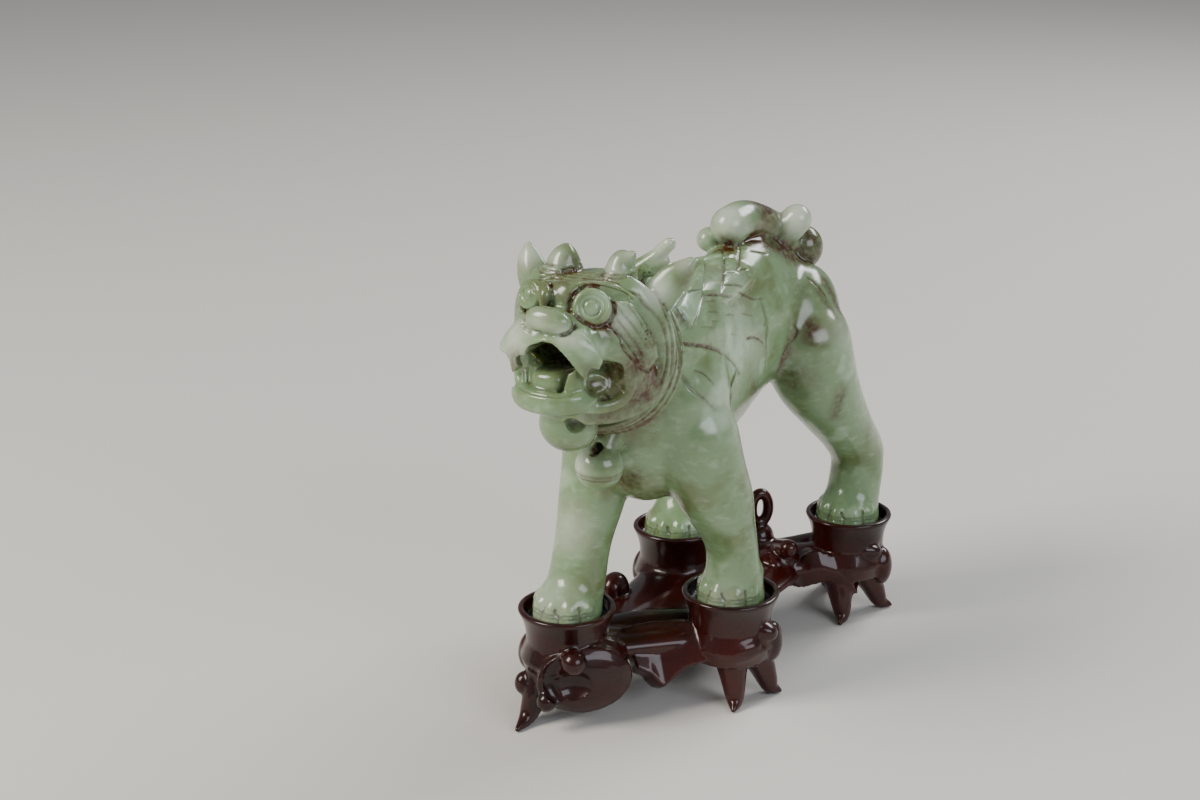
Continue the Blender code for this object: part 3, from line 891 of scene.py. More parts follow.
@dataclass(frozen=True)
class PolishedJade:
    """Nephrite, ground and then polished with wax.

    The polish gives sharp highlights on a stone that light enters a little way, so
    edges look soft and shadows warm. Iron along the cracks has turned them russet.

    Attributes:
        celadon: The stone's main colour.
        mist: Its paler wisps.
        moss: Its darker clouds.
        russet: The brown of cracks and creases, and of the painted shade inside the mouth and at
            its corners.
        cream: Its palest parts.
        graphite: Small black specks.
        index: The refractive index of nephrite.
        roughness: What a hand polish leaves.
        glow: The share of the light that goes into the stone.
        glow_mm: How far it goes.
        cloud_mm: The size of the soft colour clouds.
        wisp_mm: The size of the wisps inside a cloud.
        fibre_mm: The size of the felted fibres, drawn coarser than the real ones so that
            they show.
        mottle_mm: The size of the patches that brown settles in.
        speck_mm: The size of the specks.
        wear_mm: The size of the duller and brighter parts of the polish.
        ripple_mm: The size of the ripples that the polishing left.
        ripple_depth_mm: Their depth.
    """

    celadon: str = "#7d986f"
    mist: str = "#a2bb9c"
    moss: str = "#6b7b4f"
    russet: str = "#4a290e"
    cream: str = "#d3dacb"
    graphite: str = "#15100a"
    index: float = 1.62
    roughness: float = 0.17
    glow: float = 0.45
    glow_mm: float = 2.6
    cloud_mm: float = 16.0
    wisp_mm: float = 3.2
    fibre_mm: float = 0.8
    mottle_mm: float = 1.6
    speck_mm: float = 0.7
    wear_mm: float = 5.0
    ripple_mm: float = 2.4
    ripple_depth_mm: float = 0.2

    def material(self, name: str, marks: str) -> bpy.types.Material:
        """Make the material.

        Args:
            name: The material's name.
            marks: The attribute that holds the dressed colours.

        Returns:
            The material.
        """
        material, shader = start_material(name)
        tree = material.node_tree
        place = add_node(tree, "ShaderNodeTexCoord").outputs["Object"]

        def noise(
            size_mm: float, detail: float, stretch: Point = (1, 1, 1)
        ) -> bpy.types.NodeSocket:
            """Make noise.

            Args:
                size_mm: How far apart its patches are, in millimetres.
                detail: How much finer noise is added to it.
                stretch: How much faster it changes along each axis.

            Returns:
                The noise, from 0 to 1.
            """
            where = add_node(tree, "ShaderNodeMapping", inputs={"Vector": place, "Scale": stretch})
            grain = add_node(tree, "ShaderNodeTexNoise", inputs={
                "Vector": where.outputs[0], "Scale": 1 / (size_mm * MM), "Detail": detail,
                "Roughness": 0.6})
            return grain.outputs["Fac"]

        def blend(share: bpy.types.NodeSocket, low: object, high: object) -> bpy.types.NodeSocket:
            """Mix two colours."""
            # The colour sockets of this node are its seventh and eighth, and its third result.
            return add_node(tree, "ShaderNodeMix", {"data_type": "RGBA"}, {
                0: share, 6: low, 7: high}).outputs[2]

        def combine(kind: str, a: object, b: object) -> bpy.types.NodeSocket:
            """Work out one number from two."""
            node = add_node(tree, "ShaderNodeMath", {"operation": kind, "use_clamp": True},
                            {0: a, 1: b})
            return node.outputs[0]

        def span(value: bpy.types.NodeSocket, low: float, high: float) -> bpy.types.NodeSocket:
            """Spread the part of a number between two limits over 0 to 1."""
            return add_node(tree, "ShaderNodeMapRange", {"interpolation_type": "SMOOTHSTEP"}, {
                "Value": value, "From Min": low, "From Max": high}).outputs[0]

        # The stone itself: clouds, wisps and fibres.
        cloudy = noise(self.cloud_mm, 3.0)
        colour = ramp(tree, span(cloudy, 0.3, 0.7), (
            (0.0, self.moss), (0.42, self.celadon), (0.72, self.celadon), (1.0, self.mist)))
        wisps = span(noise(self.wisp_mm, 4.0, (1, 0.7, 1.8)), 0.5, 0.78)
        colour = blend(combine("MULTIPLY", wisps, 0.45), colour, srgb(self.mist))
        fibres = span(noise(self.fibre_mm, 2.0, (1, 0.35, 2.2)), 0.52, 0.8)
        colour = blend(combine("MULTIPLY", fibres, 0.22), colour, srgb(self.moss))

        # What was dressed: pale parts, the brown of cracks and creases with the painted shade in
        # the mouth, and specks.
        marks_node = add_node(tree, "ShaderNodeAttribute", {"attribute_name": marks})
        split = add_node(tree, "ShaderNodeSeparateColor", inputs={
            "Color": marks_node.outputs["Color"]})
        stain, pale, dark = (split.outputs[i] for i in range(3))
        crease = marks_node.outputs["Alpha"]
        colour = blend(combine("MULTIPLY", pale, 0.85), colour, srgb(self.cream))
        mottle = span(noise(self.mottle_mm, 5.0), 0.25, 0.7)
        settled = combine("MULTIPLY", crease, 0.8)
        # The stain channel also holds painted shade inside the mouth and at its corners; it is
        # mixed in here as russet.
        brown = combine("MULTIPLY", combine("ADD", stain, settled), mottle)
        brown = combine("ADD", brown, combine("MULTIPLY", stain, 0.6))
        colour = blend(brown, colour, srgb(self.russet))
        specks = span(noise(self.speck_mm, 2.0), 0.56, 0.62)
        colour = blend(combine("MULTIPLY", dark, specks), colour, srgb(self.graphite))

        # The polish: a little duller here and there, and faintly rippled.
        wear = add_node(tree, "ShaderNodeMapRange", inputs={
            "Value": noise(self.wear_mm, 3.0), "To Min": self.roughness - 0.04,
            "To Max": self.roughness + 0.08})
        bump = add_node(tree, "ShaderNodeBump", inputs={
            "Strength": 0.12, "Distance": self.ripple_depth_mm * MM,
            "Height": noise(self.ripple_mm, 3.0)})
        plug(shader, {
            "Base Color": colour, "Roughness": wear.outputs[0], "Normal": bump.outputs["Normal"],
            "IOR": self.index, "Subsurface Weight": self.glow,
            # Green and red light go further into the stone than blue.
            "Subsurface Radius": (1.0, 0.85, 0.42), "Subsurface Scale": self.glow_mm * MM})
        return material


@dataclass(frozen=True)
class LacqueredRosewood:
    """Dark rosewood, rubbed smooth and lacquered.

    The lacquer gives a second, sharper gloss over wood that is almost black in the
    shade and red-brown where light falls through it.

    Attributes:
        heart: The wood's redder parts.
        vein: Its nearly black veins.
        index: The refractive index of lacquer.
        sheen: How strongly the wood below the lacquer shines.
        roughness: The roughness of that wood.
        lacquer: The weight of the lacquer's own gloss.
        lacquer_roughness: The lacquer's roughness.
        grain_mm: The width of the grain.
        run: The grain's width over its length.
        tone_mm: The size of redder and blacker parts.
        pore_mm: The depth of the pores that show through.
    """

    heart: str = "#3c0d06"
    vein: str = "#150504"
    index: float = 1.5
    sheen: float = 0.2
    roughness: float = 0.3
    lacquer: float = 0.5
    lacquer_roughness: float = 0.06
    grain_mm: float = 0.9
    run: float = 0.07
    tone_mm: float = 22.0
    pore_mm: float = 0.2

    def material(self, name: str) -> bpy.types.Material:
        """Make the material.

        Args:
            name: The material's name.

        Returns:
            The material.
        """
        material, shader = start_material(name)
        tree = material.node_tree
        place = add_node(tree, "ShaderNodeTexCoord").outputs["Object"]
        along = add_node(tree, "ShaderNodeMapping", inputs={
            "Vector": place, "Scale": (1.0, self.run, 1.0)})
        grain = add_node(tree, "ShaderNodeTexNoise", inputs={
            "Vector": along.outputs[0], "Scale": 1 / (self.grain_mm * MM), "Detail": 4.0,
            "Roughness": 0.6, "Distortion": 0.4})
        tone = add_node(tree, "ShaderNodeTexNoise", inputs={
            "Vector": place, "Scale": 1 / (self.tone_mm * MM), "Detail": 2.0})
        mix = add_node(tree, "ShaderNodeMath", {"operation": "MULTIPLY_ADD"}, {
            0: grain.outputs["Fac"], 1: 0.6, 2: tone.outputs["Fac"]})
        colour = ramp(tree, mix.outputs[0], ((0.55, self.vein), (1.0, self.heart)))
        bump = add_node(tree, "ShaderNodeBump", inputs={
            "Strength": 0.1, "Distance": self.pore_mm * MM, "Height": grain.outputs["Fac"]})
        plug(shader, {
            "Base Color": colour, "Normal": bump.outputs["Normal"], "Roughness": self.roughness,
            "IOR": self.index, "Specular IOR Level": self.sheen, "Coat Weight": self.lacquer,
            "Coat Roughness": self.lacquer_roughness, "Coat IOR": self.index})
        return material


@dataclass(frozen=True)
class PaleFloor:
    """Matt painted board, which gives an even pale ground with soft shadows.

    Attributes:
        paint: Its colour.
        roughness: How matt it is.
    """

    paint: str = "#dcdad4"
    roughness: float = 0.75

    def material(self, name: str) -> bpy.types.Material:
        """Make the material.

        Args:
            name: The material's name.

        Returns:
            The material.
        """
        material, shader = start_material(name)
        plug(shader, {"Base Color": srgb(self.paint), "Roughness": self.roughness})
        return material


# The lion ---------------------------------------------------------------------


@dataclass
class Body:
    """Trunk, legs and paws, which are worked first and smoothed most.

    Attributes:
        paws: The middle of each paw, as (x, y).
        sole: The height of the flat soles.
        toe_step: The angle between two toes, in degrees.
        toe_back: How far behind a paw's middle the middle of the toes' arc lies.
        voxel: The fineness of the first skin.
    """

    paws: tuple[tuple[float, float], ...] = (
        (-14.4, -46), (15, -17.3), (-17.1, 13), (17.5, 46.1))
    sole: float = 24.9
    toe_step: float = 36.0
    toe_back: float = 0.6
    voxel: float = 1.0

    def trunk(self, clay: Clay) -> None:
        """Lay up the deep chest, tucked waist, high rump and thick neck.

        Args:
            clay: The lumps that it adds to.
        """
        clay.limb([
            (0, -35, 80, 16, 1.50), (0, -28, 81, 17.2, 1.44), (0, -18, 82.8, 16.4, 1.42),
            (0, -7, 83.8, 14.9, 1.50), (0, 5, 85.8, 13.7, 1.50), (0, 17, 87.8, 14.2, 1.32),
            (0, 28, 87.6, 14.8, 1.08), (0, 34, 87.4, 13.8, 0.96),
        ], sides=64)
        clay.limb([(1.6, -1, 98.2, 8.4), (1.2, 8, 99.6, 9.0), (0.9, 17, 99.8, 9.0),
                   (0.5, 26, 97.6, 9.0)])
        clay.ball((0, -34, 77), (15.0, 13.5, 22.5), sides=72)
        clay.limb([(0, -24, 93, 16.5), (0, -38, 95.5, 17.2), (0, -50, 98, 15)], 0.98, sides=64)

    def legs(self, clay: Clay) -> None:
        """Lay up four legs, each from its muscle down to the ankle.

        Args:
            clay: The lumps that it adds to.
        """
        clay.ball((12.0, -34, 80), (9.0, 12.0, 17), (8, 0, 0))
        clay.limb([(14.2, -35.0, 74, 10.0), (15.4, -32, 64, 9.6), (15.9, -26.6, 55, 8.7),
                   (15.9, -21.8, 47, 7.1), (15.7, -18.4, 40, 6.5), (15.5, -17.0, 31, 7.0)])
        clay.ball((-12.0, -33, 80), (9.0, 12.0, 17))
        clay.limb([(-12.2, -33, 74, 9.8), (-12.4, -34.5, 62, 9.0), (-13.0, -37, 52.6, 8.1),
                   (-13.8, -39.6, 42.6, 7.0), (-14.2, -42.4, 31, 7.2)])
        clay.ball((9.8, 27.4, 83.4), (10.2, 13.4, 16.6), (-14, 0, 0))
        clay.limb([(12.3, 26, 80, 12.2), (14.6, 28.5, 70.6, 11.0), (16.0, 35.8, 61, 9.0),
                   (17, 44.4, 51.5, 7.5), (17.8, 50.4, 43.5, 7.3), (17.8, 49.6, 36, 7.2),
                   (17.6, 48.0, 30, 7.4)])
        clay.ball((-9.8, 25, 83.4), (10.2, 13.6, 16.6), (-6, 0, 0))
        clay.limb([(-12.0, 20, 80, 12.2), (-14.4, 15.5, 70, 10.6), (-16.0, 15.0, 60, 8.8),
                   (-16.6, 18, 51, 7.4), (-17.2, 19.6, 43, 7.2), (-17.2, 17.6, 36, 7.1),
                   (-17.2, 15.4, 30, 7.4)])
        for x, y in self.paws:
            clay.limb([(x, y + 4.0, 32.0, 7.0), (x, y - 1.6, 28.8, 8.0)], flat=0.74)
            clay.ball((x, y + 0.3, 26.6), (8.6, 9.0, 5.4))

    def rough_out(self) -> bpy.types.Object:
        """Fuse and smooth the body.

        Returns:
            The body as one closed skin.
        """
        clay = Clay()
        self.trunk(clay)
        self.legs(clay)
        obj = clay.fuse("body", self.voxel, passes=16)
        finish_with(obj, "SUBSURF", levels=1, render_levels=1)
        return obj

    def toes(self, clay: Clay) -> None:
        """Lay five toes round the front of each paw.

        Args:
            clay: The lumps that it adds to.
        """
        for x, y in self.paws:
            y += self.toe_back
            for toe in range(-2, 3):
                angle = math.radians(self.toe_step * toe)
                across, ahead = math.sin(angle), -math.cos(angle)
                clay.limb([(x + 5.0 * across, y + 5.2 * ahead, 31.2, 1.9),
                           (x + 6.2 * across, y + 6.7 * ahead, 29.4, 2.3),
                           (x + 6.5 * across, y + 7.1 * ahead, 26.0, 2.3)],
                          facing=(-ahead, across, 0), sides=20, steps=4)

    def toe_lines(self, skin: Skin) -> list[Line]:
        """Draw the grooves between the toes and the line of the claws.

        Args:
            skin: The surface that they lie on.

        Returns:
            The lines.
        """
        lines = []
        for x, y in self.paws:
            y += self.toe_back
            for gap in (-1.5, -0.5, 0.5, 1.5):
                angle = math.radians(self.toe_step * gap)
                across, ahead = math.sin(angle), -math.cos(angle)
                points = [(x + 9.5 * across, y + 10.2 * ahead, z)
                          for z in np.linspace(31.4, self.sole + 0.4, 8)]
                lines.append(Line(skin.settled(points), 0.5, 0.5, 0.2, 0.3))
                lines.append(Line(skin.settled(points[:3]), 0.4, 0.6, 0.8, 0.3))
            for height in (28.0, 28.9):
                arc = [(x + 10 * math.sin(a), y - 10.6 * math.cos(a), height)
                       for a in np.radians(np.linspace(-88, 88, 24))]
                lines.append(Line(skin.settled(arc), 0.36, 0.26, 0.2, 0.1))
        return lines


@dataclass
class Head:
    """Face, horns and ears, built round the middle of the collar.

    Attributes:
        centre: The middle of the collar.
        turn: The head's turn to its left, in degrees.
        eye_lift: How much higher the carver set the right eye.
        eye: The radius of the left eye's face.
        right_eye: The right eye's radius over the left one's.
        core: The middle of the skull, in the head's frame.
    """

    centre: Point = (0.0, -47.0, 96.0)
    turn: float = 5.0
    eye_lift: float = 1.1
    eye: float = 4.05
    right_eye: float = 0.84
    core: Point = (0.0, -6.0, 4.0)

    @property
    def place(self) -> Matrix:
        """The frame of the head, in which forward is -Y."""
        return Matrix.Translation(self.centre) @ Matrix.Rotation(math.radians(self.turn), 4, "Z")

    def skull(self, clay: Clay) -> None:
        """Lay up skull, brow, muzzle and lower jaw.

        Args:
            clay: The lumps that it adds to.
        """
        at = self.place
        clay.ball((0, -9.5, 5.0), (16.4, 14.0, 15.0), place=at, sides=72)
        clay.ball((0, -18.5, 12.6), (12.6, 8.5, 7.4), (16, 0, 0), at)
        clay.ball((0, -22, 7.4), (10.4, 9.4, 6.6), place=at)
        clay.ball((0, -19, -2.0), (10.6, 11.5, 5.8), (-6, 0, 0), at)
        for side in (-1, 1):
            clay.ball((side * 10.6, -15.5, 2.0), (5.4, 8.0, 9.0), (0, 0, side * 14), at)

    def eye_frame(self, side: int) -> tuple[Vector, Vector]:
        """Where one eye's face is and the way it looks, in the head's frame.

        Args:
            side: 1 for the left eye and -1 for the right one.

        Returns:
            The middle of its face, and the direction.
        """
        look = Vector((0.44 if side > 0 else -0.3, -0.86, 0.3)).normalized()
        lift = self.eye_lift if side < 0 else 0.0
        return Vector((side * 7.7 + 0.1, -28.4, 17.2 + lift)), look

    def eye_size(self, side: int) -> float:
        """The radius of one eye, by its side; the right one is smaller."""
        return self.eye if side > 0 else self.eye * self.right_eye

    def eyes(self, clay: Clay) -> None:
        """Lay up the drum-shaped eyes, and the fold on the inner side of the right one.

        Args:
            clay: The lumps that it adds to.
        """
        at = self.place
        for side in (-1, 1):
            middle, look = self.eye_frame(side)
            size = self.eye_size(side)
            bevel = 0.35 if side > 0 else 0.7
            stand = look.to_track_quat("Z", "Y").to_matrix().to_4x4()
            drum = ((size + 0.2, -8.0), (size + 0.1, -bevel * 1.6),
                    (size - bevel * 0.4, -bevel * 0.5), (size - bevel, 0.0))
            clay.turned(drum, at @ Matrix.Translation(middle) @ stand)
        clay.limb([(-4.2, -27.0, 20.6, 0.8), (-3.0, -28.8, 19.0, 1.3), (-3.0, -29.8, 16.6, 0.9)],
                  place=at, sides=20)
        clay.ball((0.6, -25.4, 16.8), (4.8, 3.2, 4.8), place=at)

    def muzzle(self, clay: Clay) -> None:
        """Lay up the nose, the winged upper lip with its fangs, and the jaw.

        Args:
            clay: The lumps that it adds to.
        """
        at = self.place
        clay.ball((0.3, -33.6, 14.9), (5.2, 2.9, 2.7), (-14, 6, 0), at, boxy=2.3)
        clay.ball((0.6, -29.4, 13.2), (6.4, 5.2, 3.0), place=at)
        # Each wing of the lip: its top edge, its crest and its toothed lower edge.
        left = (
            ((0.2, -34.2, 12.3), (2.7, -34.1, 12.2), (4.9, -33.6, 12.7), (6.4, -33, 13.6),
             (8.3, -32.2, 13.9), (9.6, -31.3, 12), (10.5, -30.8, 10.2), (10.9, -30.5, 8.6)),
            ((0.2, -36.1, 11.3), (1.8, -36, 11.1), (3.6, -35.7, 10.8), (5.2, -35.3, 10.4),
             (7, -34.6, 9.8), (8.6, -33.7, 9.3), (9.8, -32.8, 9), (11.2, -31.6, 8.2)),
            ((0.1, -35.8, 10.6), (2.2, -35.5, 10.2), (4.7, -34.9, 7.6), (6.8, -34.1, 4.7),
             (8.8, -32.9, 2.1), (9.4, -32.5, 5), (11.1, -31.2, 4.6), (11.7, -30.6, 6.6)),
        )
        right = (
            ((0.2, -34.2, 12.3), (-2, -34.2, 12.2), (-3.8, -33.8, 13.2), (-5.4, -33.2, 14.2),
             (-7.6, -32.2, 13.9), (-9.6, -31, 12.5), (-12.6, -28.6, 9.6), (-14.6, -26.4, 7.4)),
            ((0.2, -36.1, 11.3), (-1.8, -36, 10.6), (-3.6, -35.6, 9.8), (-5.6, -35, 9),
             (-8.2, -33.6, 8.2), (-10.6, -32, 7.4), (-13.2, -29.6, 6.4), (-15.4, -27, 5.8)),
            ((0.1, -35.8, 10.6), (-1.3, -35.7, 9.9), (-3.1, -35.4, 8.7), (-6, -34.5, 4.6),
             (-9.7, -32.4, 1.2), (-11.3, -31, 4.4), (-13.8, -28.8, 2.9), (-15.1, -27.2, 4.3)),
        )
        for wing in (left, right):
            clay.slab(wing, 2.0, self.core, at, crisp=True)
        for side in (-1, 1):
            clay.limb(on_side(side, (
                (1.6, -32.4, 11.6, 2), (5.6, -31.4, 10.8, 3.6), (8.4, -29.6, 8.8, 3.3),
                (10.4, -25.6, 7.4, 2.2))), 0.62, (side * 0.34, -1, 0.2), at)
        # The lower lip is a square-edged roll with a post at each side of the tongue.
        clay.limb([(-8.6, -28.0, -1.6, 1.6), (-8.0, -30.8, -2.7, 2.2), (-5.6, -33.2, -3.2, 2.4),
                   (-2.4, -34.5, -3.3, 2.4), (1, -34.7, -3.3, 2.4), (4.2, -33.6, -3.2, 2.3),
                   (6.4, -31.4, -3.0, 2.2), (7.4, -28.4, -2.6, 1.8)],
                  flat=0.86, facing=(0, -1, 0), place=at, square=3.4)
        clay.slab((((3.6, -33.8, -1.6), (4.0, -33.6, 0.8), (4.9, -32.9, 4.3)),
                   ((5.6, -33, -2), (5.6, -32.8, 1), (5.4, -32.6, 4.5)),
                   ((7.6, -31.2, -2.4), (7.2, -31.2, 0.6), (6.0, -31.8, 4.2))), 1.8, self.core, at)
        clay.slab((((-7.0, -32.4, -1.6), (-7.2, -31.9, 0.8), (-7.6, -30.9, 2.8)),
                   ((-8.2, -31, -2), (-8.5, -30.4, 0.8), (-8.4, -29.8, 2.8)),
                   ((-9, -28.6, -2.2), (-9.4, -28.2, 0.6), (-9.1, -28, 2.4))), 1.6,
                  self.core, at)
        clay.ball((-0.4, -26.0, -4.6), (8.4, 7.4, 3.4), place=at)
        clay.ball((-1.4, -27.6, -0.1), (4.3, 5.2, 2.9), (-4, 0, 0), at, boxy=3.0)

    def cheeks(self, clay: Clay) -> None:
        """Lay up the leaf-shaped pads behind the eyes, and the ridges round the face.

        Args:
            clay: The lumps that it adds to.
        """
        at = self.place
        leaf = (
            ((11.4, -24.4, 18.2), (10.6, -26, 15), (10.8, -26, 12.2), (12.2, -24.2, 8.6),
             (13.9, -21.8, 5.2), (15.1, -19.8, 2)),
            ((12.2, -23.2, 17.8), (13.4, -22.7, 15.2), (14.9, -20.9, 11.5), (16.1, -18.7, 7.6),
             (16.7, -17.2, 4.3), (16.1, -17.4, 1.6)),
            ((12.8, -21.6, 17.8), (14.4, -20, 15.6), (16, -17.2, 11.5), (16.8, -14.8, 6.6),
             (16.9, -14.2, 3), (16, -16.2, 1.2)),
        )
        lobe = (
            ((14.9, -19.8, 0.9), (14.6, -20.8, -1.2), (14.6, -20, -3)),
            ((15.9, -16.8, 0.9), (16.2, -17.4, -1.4), (15.8, -17.2, -3.6)),
            ((16.4, -13.6, 1), (16.6, -13.4, -1.6), (16, -14.6, -3.8)),
        )
        for side in (-1, 1):
            for edges, thickness in ((leaf, 2.6), (lobe, 2.4)):
                clay.slab([on_side(side, edge) for edge in edges], thickness, self.core, at)
            clay.limb(on_side(side, (
                (3.6, -28.2, 13.2, 2.6), (8, -27.8, 11.2, 3.2), (10.8, -25.4, 8, 3),
                (12.8, -22.4, 4.4, 2.4))), 0.7, (side * 0.5, -1, 0.3), at)
            clay.limb(on_side(side, (
                (8.8, -26.4, 6.6, 1.3), (10.6, -24.7, 5.4, 1.4), (12.6, -22.8, 3.4, 1.4),
                (13.5, -21.8, 0.2, 1.4), (13.3, -22, -2.8, 1.4), (11.8, -23.8, -4.7, 1.4),
                (9.4, -26.2, -5.4, 1.4), (6.4, -28.4, -5.2, 1.4))), 0.8, (side, -0.6, 0), at, 24)
            clay.limb(on_side(side, (
                (10.4, -21, 7.4, 3.2), (12.6, -18.8, 3.4, 3.6), (12.8, -18.4, -1.2, 3.6),
                (9.6, -21.8, -3.6, 3.2))), 0.7, (side, -0.6, 0), at, 24)
        # The hair line: a low ridge over both eyes. The hair itself is a band behind it that
        # sweeps from the ears round the cheeks to below the jaw.
        brow = [(-14.0, -17.4, 13.6, 0.4), (-12.8, -20.8, 16.6, 0.6), (-10.2, -23.4, 18.4, 0.7),
                (-7.2, -25, 19.6, 0.7), (-3, -25.6, 20.3, 0.7), (1.2, -25.6, 20.8, 0.7),
                (5.4, -25, 21.2, 0.7), (9.6, -23.2, 21, 0.7), (12.2, -20.2, 18.8, 0.5),
                (13.4, -16.8, 16.4, 0.4)]
        clay.limb(brow, facing=(0, -1, 0.6), place=at, sides=20)
        clay.ball((0.4, -16.6, 14.4), (13.8, 9.8, 6.3), (6, 0, 0), at, sides=64)
        for side in (-1, 1):
            clay.limb(on_side(side, (
                (6, -17, 19, 3.4), (10.6, -16.4, 17.6, 3.6), (13.8, -14.4, 14.2, 3.6),
                (15.6, -12, 9.6, 3.4), (16.4, -10.6, 4.6, 3.3), (16.2, -11.8, -1, 3.3),
                (14.4, -15.4, -5.4, 3.2), (10.8, -20, -7.4, 3), (5.6, -23.4, -8.2, 2.8),
                (0, -24.4, -8.4, 2.8))), 0.55, (side, -0.5, -0.1), at)

    def ears_and_horns(self, clay: Clay) -> None:
        """Lay up pod-shaped keeled ears, two buds on the brow and one small horn.

        Args:
            clay: The lumps that it adds to.
        """
        at = self.place
        left_ear = [(12.0, -10.0, 12.4, 3.8), (14.4, -9.4, 15.6, 4.0), (17.2, -8.6, 19.2, 3.6),
                    (19.6, -7.6, 22.0, 2.5), (21.2, -6.8, 24.0, 1.1)]
        right_ear = [(-13.8, -9.8, 12.0, 3.8), (-15.8, -9.2, 15.6, 4.0), (-17.2, -8.6, 18.8, 3.5),
                     (-18.0, -8.0, 21.4, 2.4), (-18.4, -7.4, 23.2, 1.1)]
        clay.limb(left_ear, flat=0.66, facing=(0.45, -0.8, 0.1), place=at, square=1.5)
        clay.limb(right_ear, flat=0.66, facing=(0.2, -1, 0.1), place=at, square=1.5)
        right_bud = [(-6.8, -12.6, 17.0, 4.5), (-6.8, -12.8, 19.4, 4.5), (-6.6, -13.0, 21.2, 4.15),
                     (-6.4, -13.0, 23.0, 3.4), (-6.1, -13.0, 24.8, 2.2), (-5.9, -13.0, 26.2, 0.5)]
        left_bud = [(6.6, -12.8, 17.0, 3.9), (6.9, -13.0, 19.4, 3.9), (7.3, -13.0, 21.6, 3.6),
                    (7.9, -13.0, 23.6, 2.9), (9.5, -13.0, 25.0, 1.5), (10.1, -13.0, 26.5, 0.5)]
        for bud in (right_bud, left_bud):
            clay.limb(bud, facing=(0, -1, 0), place=at)
        clay.limb([(3.0, -1.0, 15.8, 3.2), (6.0, 0.0, 18.6, 2.6), (9.2, 0.8, 21.6, 1.8),
                   (11.2, 1.0, 23.8, 1.6), (12.2, 1.0, 24.8, 1.6)], facing=(1, -1, 0), place=at)
        clay.limb([(8.4, 0.0, 19.0, 2.0), (11.2, 0.9, 20.8, 1.3)], facing=(1, -1, 0), place=at)

    def hollows(self, tools: Clay) -> None:
        """Shape what is cut away for the open mouth and its two corners.

        Args:
            tools: The shapes that are cut away.
        """
        at = self.place
        mouth = tools.ball((-0.3, -32.0, 7.0), (4.6, 13.0, 3.6), (4, 0, 0), at)
        cut(mouth, Clay().ball((-1.0, -31.0, 4.9), (6.8, 12.5, 2.3), (2, 0, 0), at, boxy=2.6),
            "UNION")
        for side in (-1, 1):
            tools.ball((side * 11.0, -28.0, 1.3), (4.7, 4.6, 4.1), (0, 0, side * 36), at, boxy=2.6)

    def dress_eyes(self, skin: Skin) -> None:
        """Turn the rings on the face of each eye.

        Args:
            skin: The surface that they lie on.
        """
        at = self.place
        for side in (-1, 1):
            middle, look = self.eye_frame(side)
            share = self.eye_size(side) / self.eye

            def rings(away: np.ndarray, share: float = share) -> np.ndarray:
                """The rise of an eye's face: two grooves round a raised middle."""
                grooves = sum(deep * np.exp(-(((away / share - reach) / 0.3) ** 2))
                              for deep, reach in ((-0.28, 2.75), (-0.45, 1.75)))
                return grooves + 0.2 * np.exp(-((away / 0.9) ** 2))

            skin.press(tuple(at @ middle), tuple(at.to_3x3() @ look), self.eye_size(side), rings)

    def lines(self, skin: Skin) -> list[Line]:
        """Draw the fine carving of the face.

        Args:
            skin: The surface that it lies on.

        Returns:
            The lines.
        """
        at = self.place
        lines = []

        def draw(points: Iterable[Point], *settings: float) -> None:
            """Settle a smooth line, given in the head's frame, on the surface."""
            path = placed(smooth_path(points, 6), at)
            lines.append(Line(skin.settled(path), *settings))

        for side in (-1, 1):
            middle, look = self.eye_frame(side)
            level = Vector((0, 0, 1)).cross(look).normalized()
            rise = look.cross(level)
            reach = self.eye_size(side) + 0.55
            ring = [tuple(middle - look * 2.4 + (level * math.cos(a) + rise * math.sin(a)) * reach)
                    for a in np.radians(np.arange(0, 361, 15))]
            draw(ring, 0.7, 0.6, 0.85, 0.0)
            # The leaf: ridges that run side by side from the eye to the curl's end.
            inner = smooth_path([(9.4, -25.6, 13.6), (10.6, -25.2, 9.8), (13.0, -23.2, 6.2),
                                 (14.9, -20.8, 3.4)], 6)
            outer = smooth_path([(9.6, -22.6, 19.6), (14.0, -20.0, 16.6), (16.9, -17.4, 11.0),
                                 (17.4, -15.0, 4.6)], 6)
            for number in range(6):
                share = number / 5
                path = inner * (1 - share) + outer * share
                path[:, 0] *= side
                width, depth, stain = (0.5, 0.5, 0.6) if number in (0, 5) else (0.4, 0.24, 0.3)
                draw(path[::4], width, depth, stain, 0.12)
            curl = [(15.0, -20.8, 3.4), (15.9, -18.6, 1.6), (17.0, -16.2, 1.4), (17.4, -14.6, 3.4)]
            draw(on_side(side, curl), 0.55, 0.5, 0.7, 0.1)
            # Strands that sweep over the brow and down round the cheek.
            for number in range(5):
                grow = 0.45 * number
                arc = []
                for degrees in range(-6, 150, 12):
                    angle = math.radians(degrees)
                    back = 9.0 * abs(math.sin(angle)) ** 1.3
                    arc.append((side * math.sin(angle) * (17.6 + 0.1 * grow),
                                back - 20.6 + 1.5 * number,
                                4.4 + math.cos(angle) * (15.4 + grow)))
                draw(arc, 0.5, 0.45, 0.4, 0.06)
            # Two lines round each bud.
            foot, wide, heights = (((7.1, -13.0), 4.0, (20.6, 21.6)) if side > 0
                                   else ((-6.8, -13.0), 4.6, (20.0, 20.9)))
            for height in heights:
                band = [(foot[0] + wide * math.sin(a), foot[1] - wide * math.cos(a),
                         height - 0.4 * math.cos(a)) for a in np.radians(np.arange(0, 361, 20))]
                draw(band, 0.35, 0.32, 0.6, 0.0)
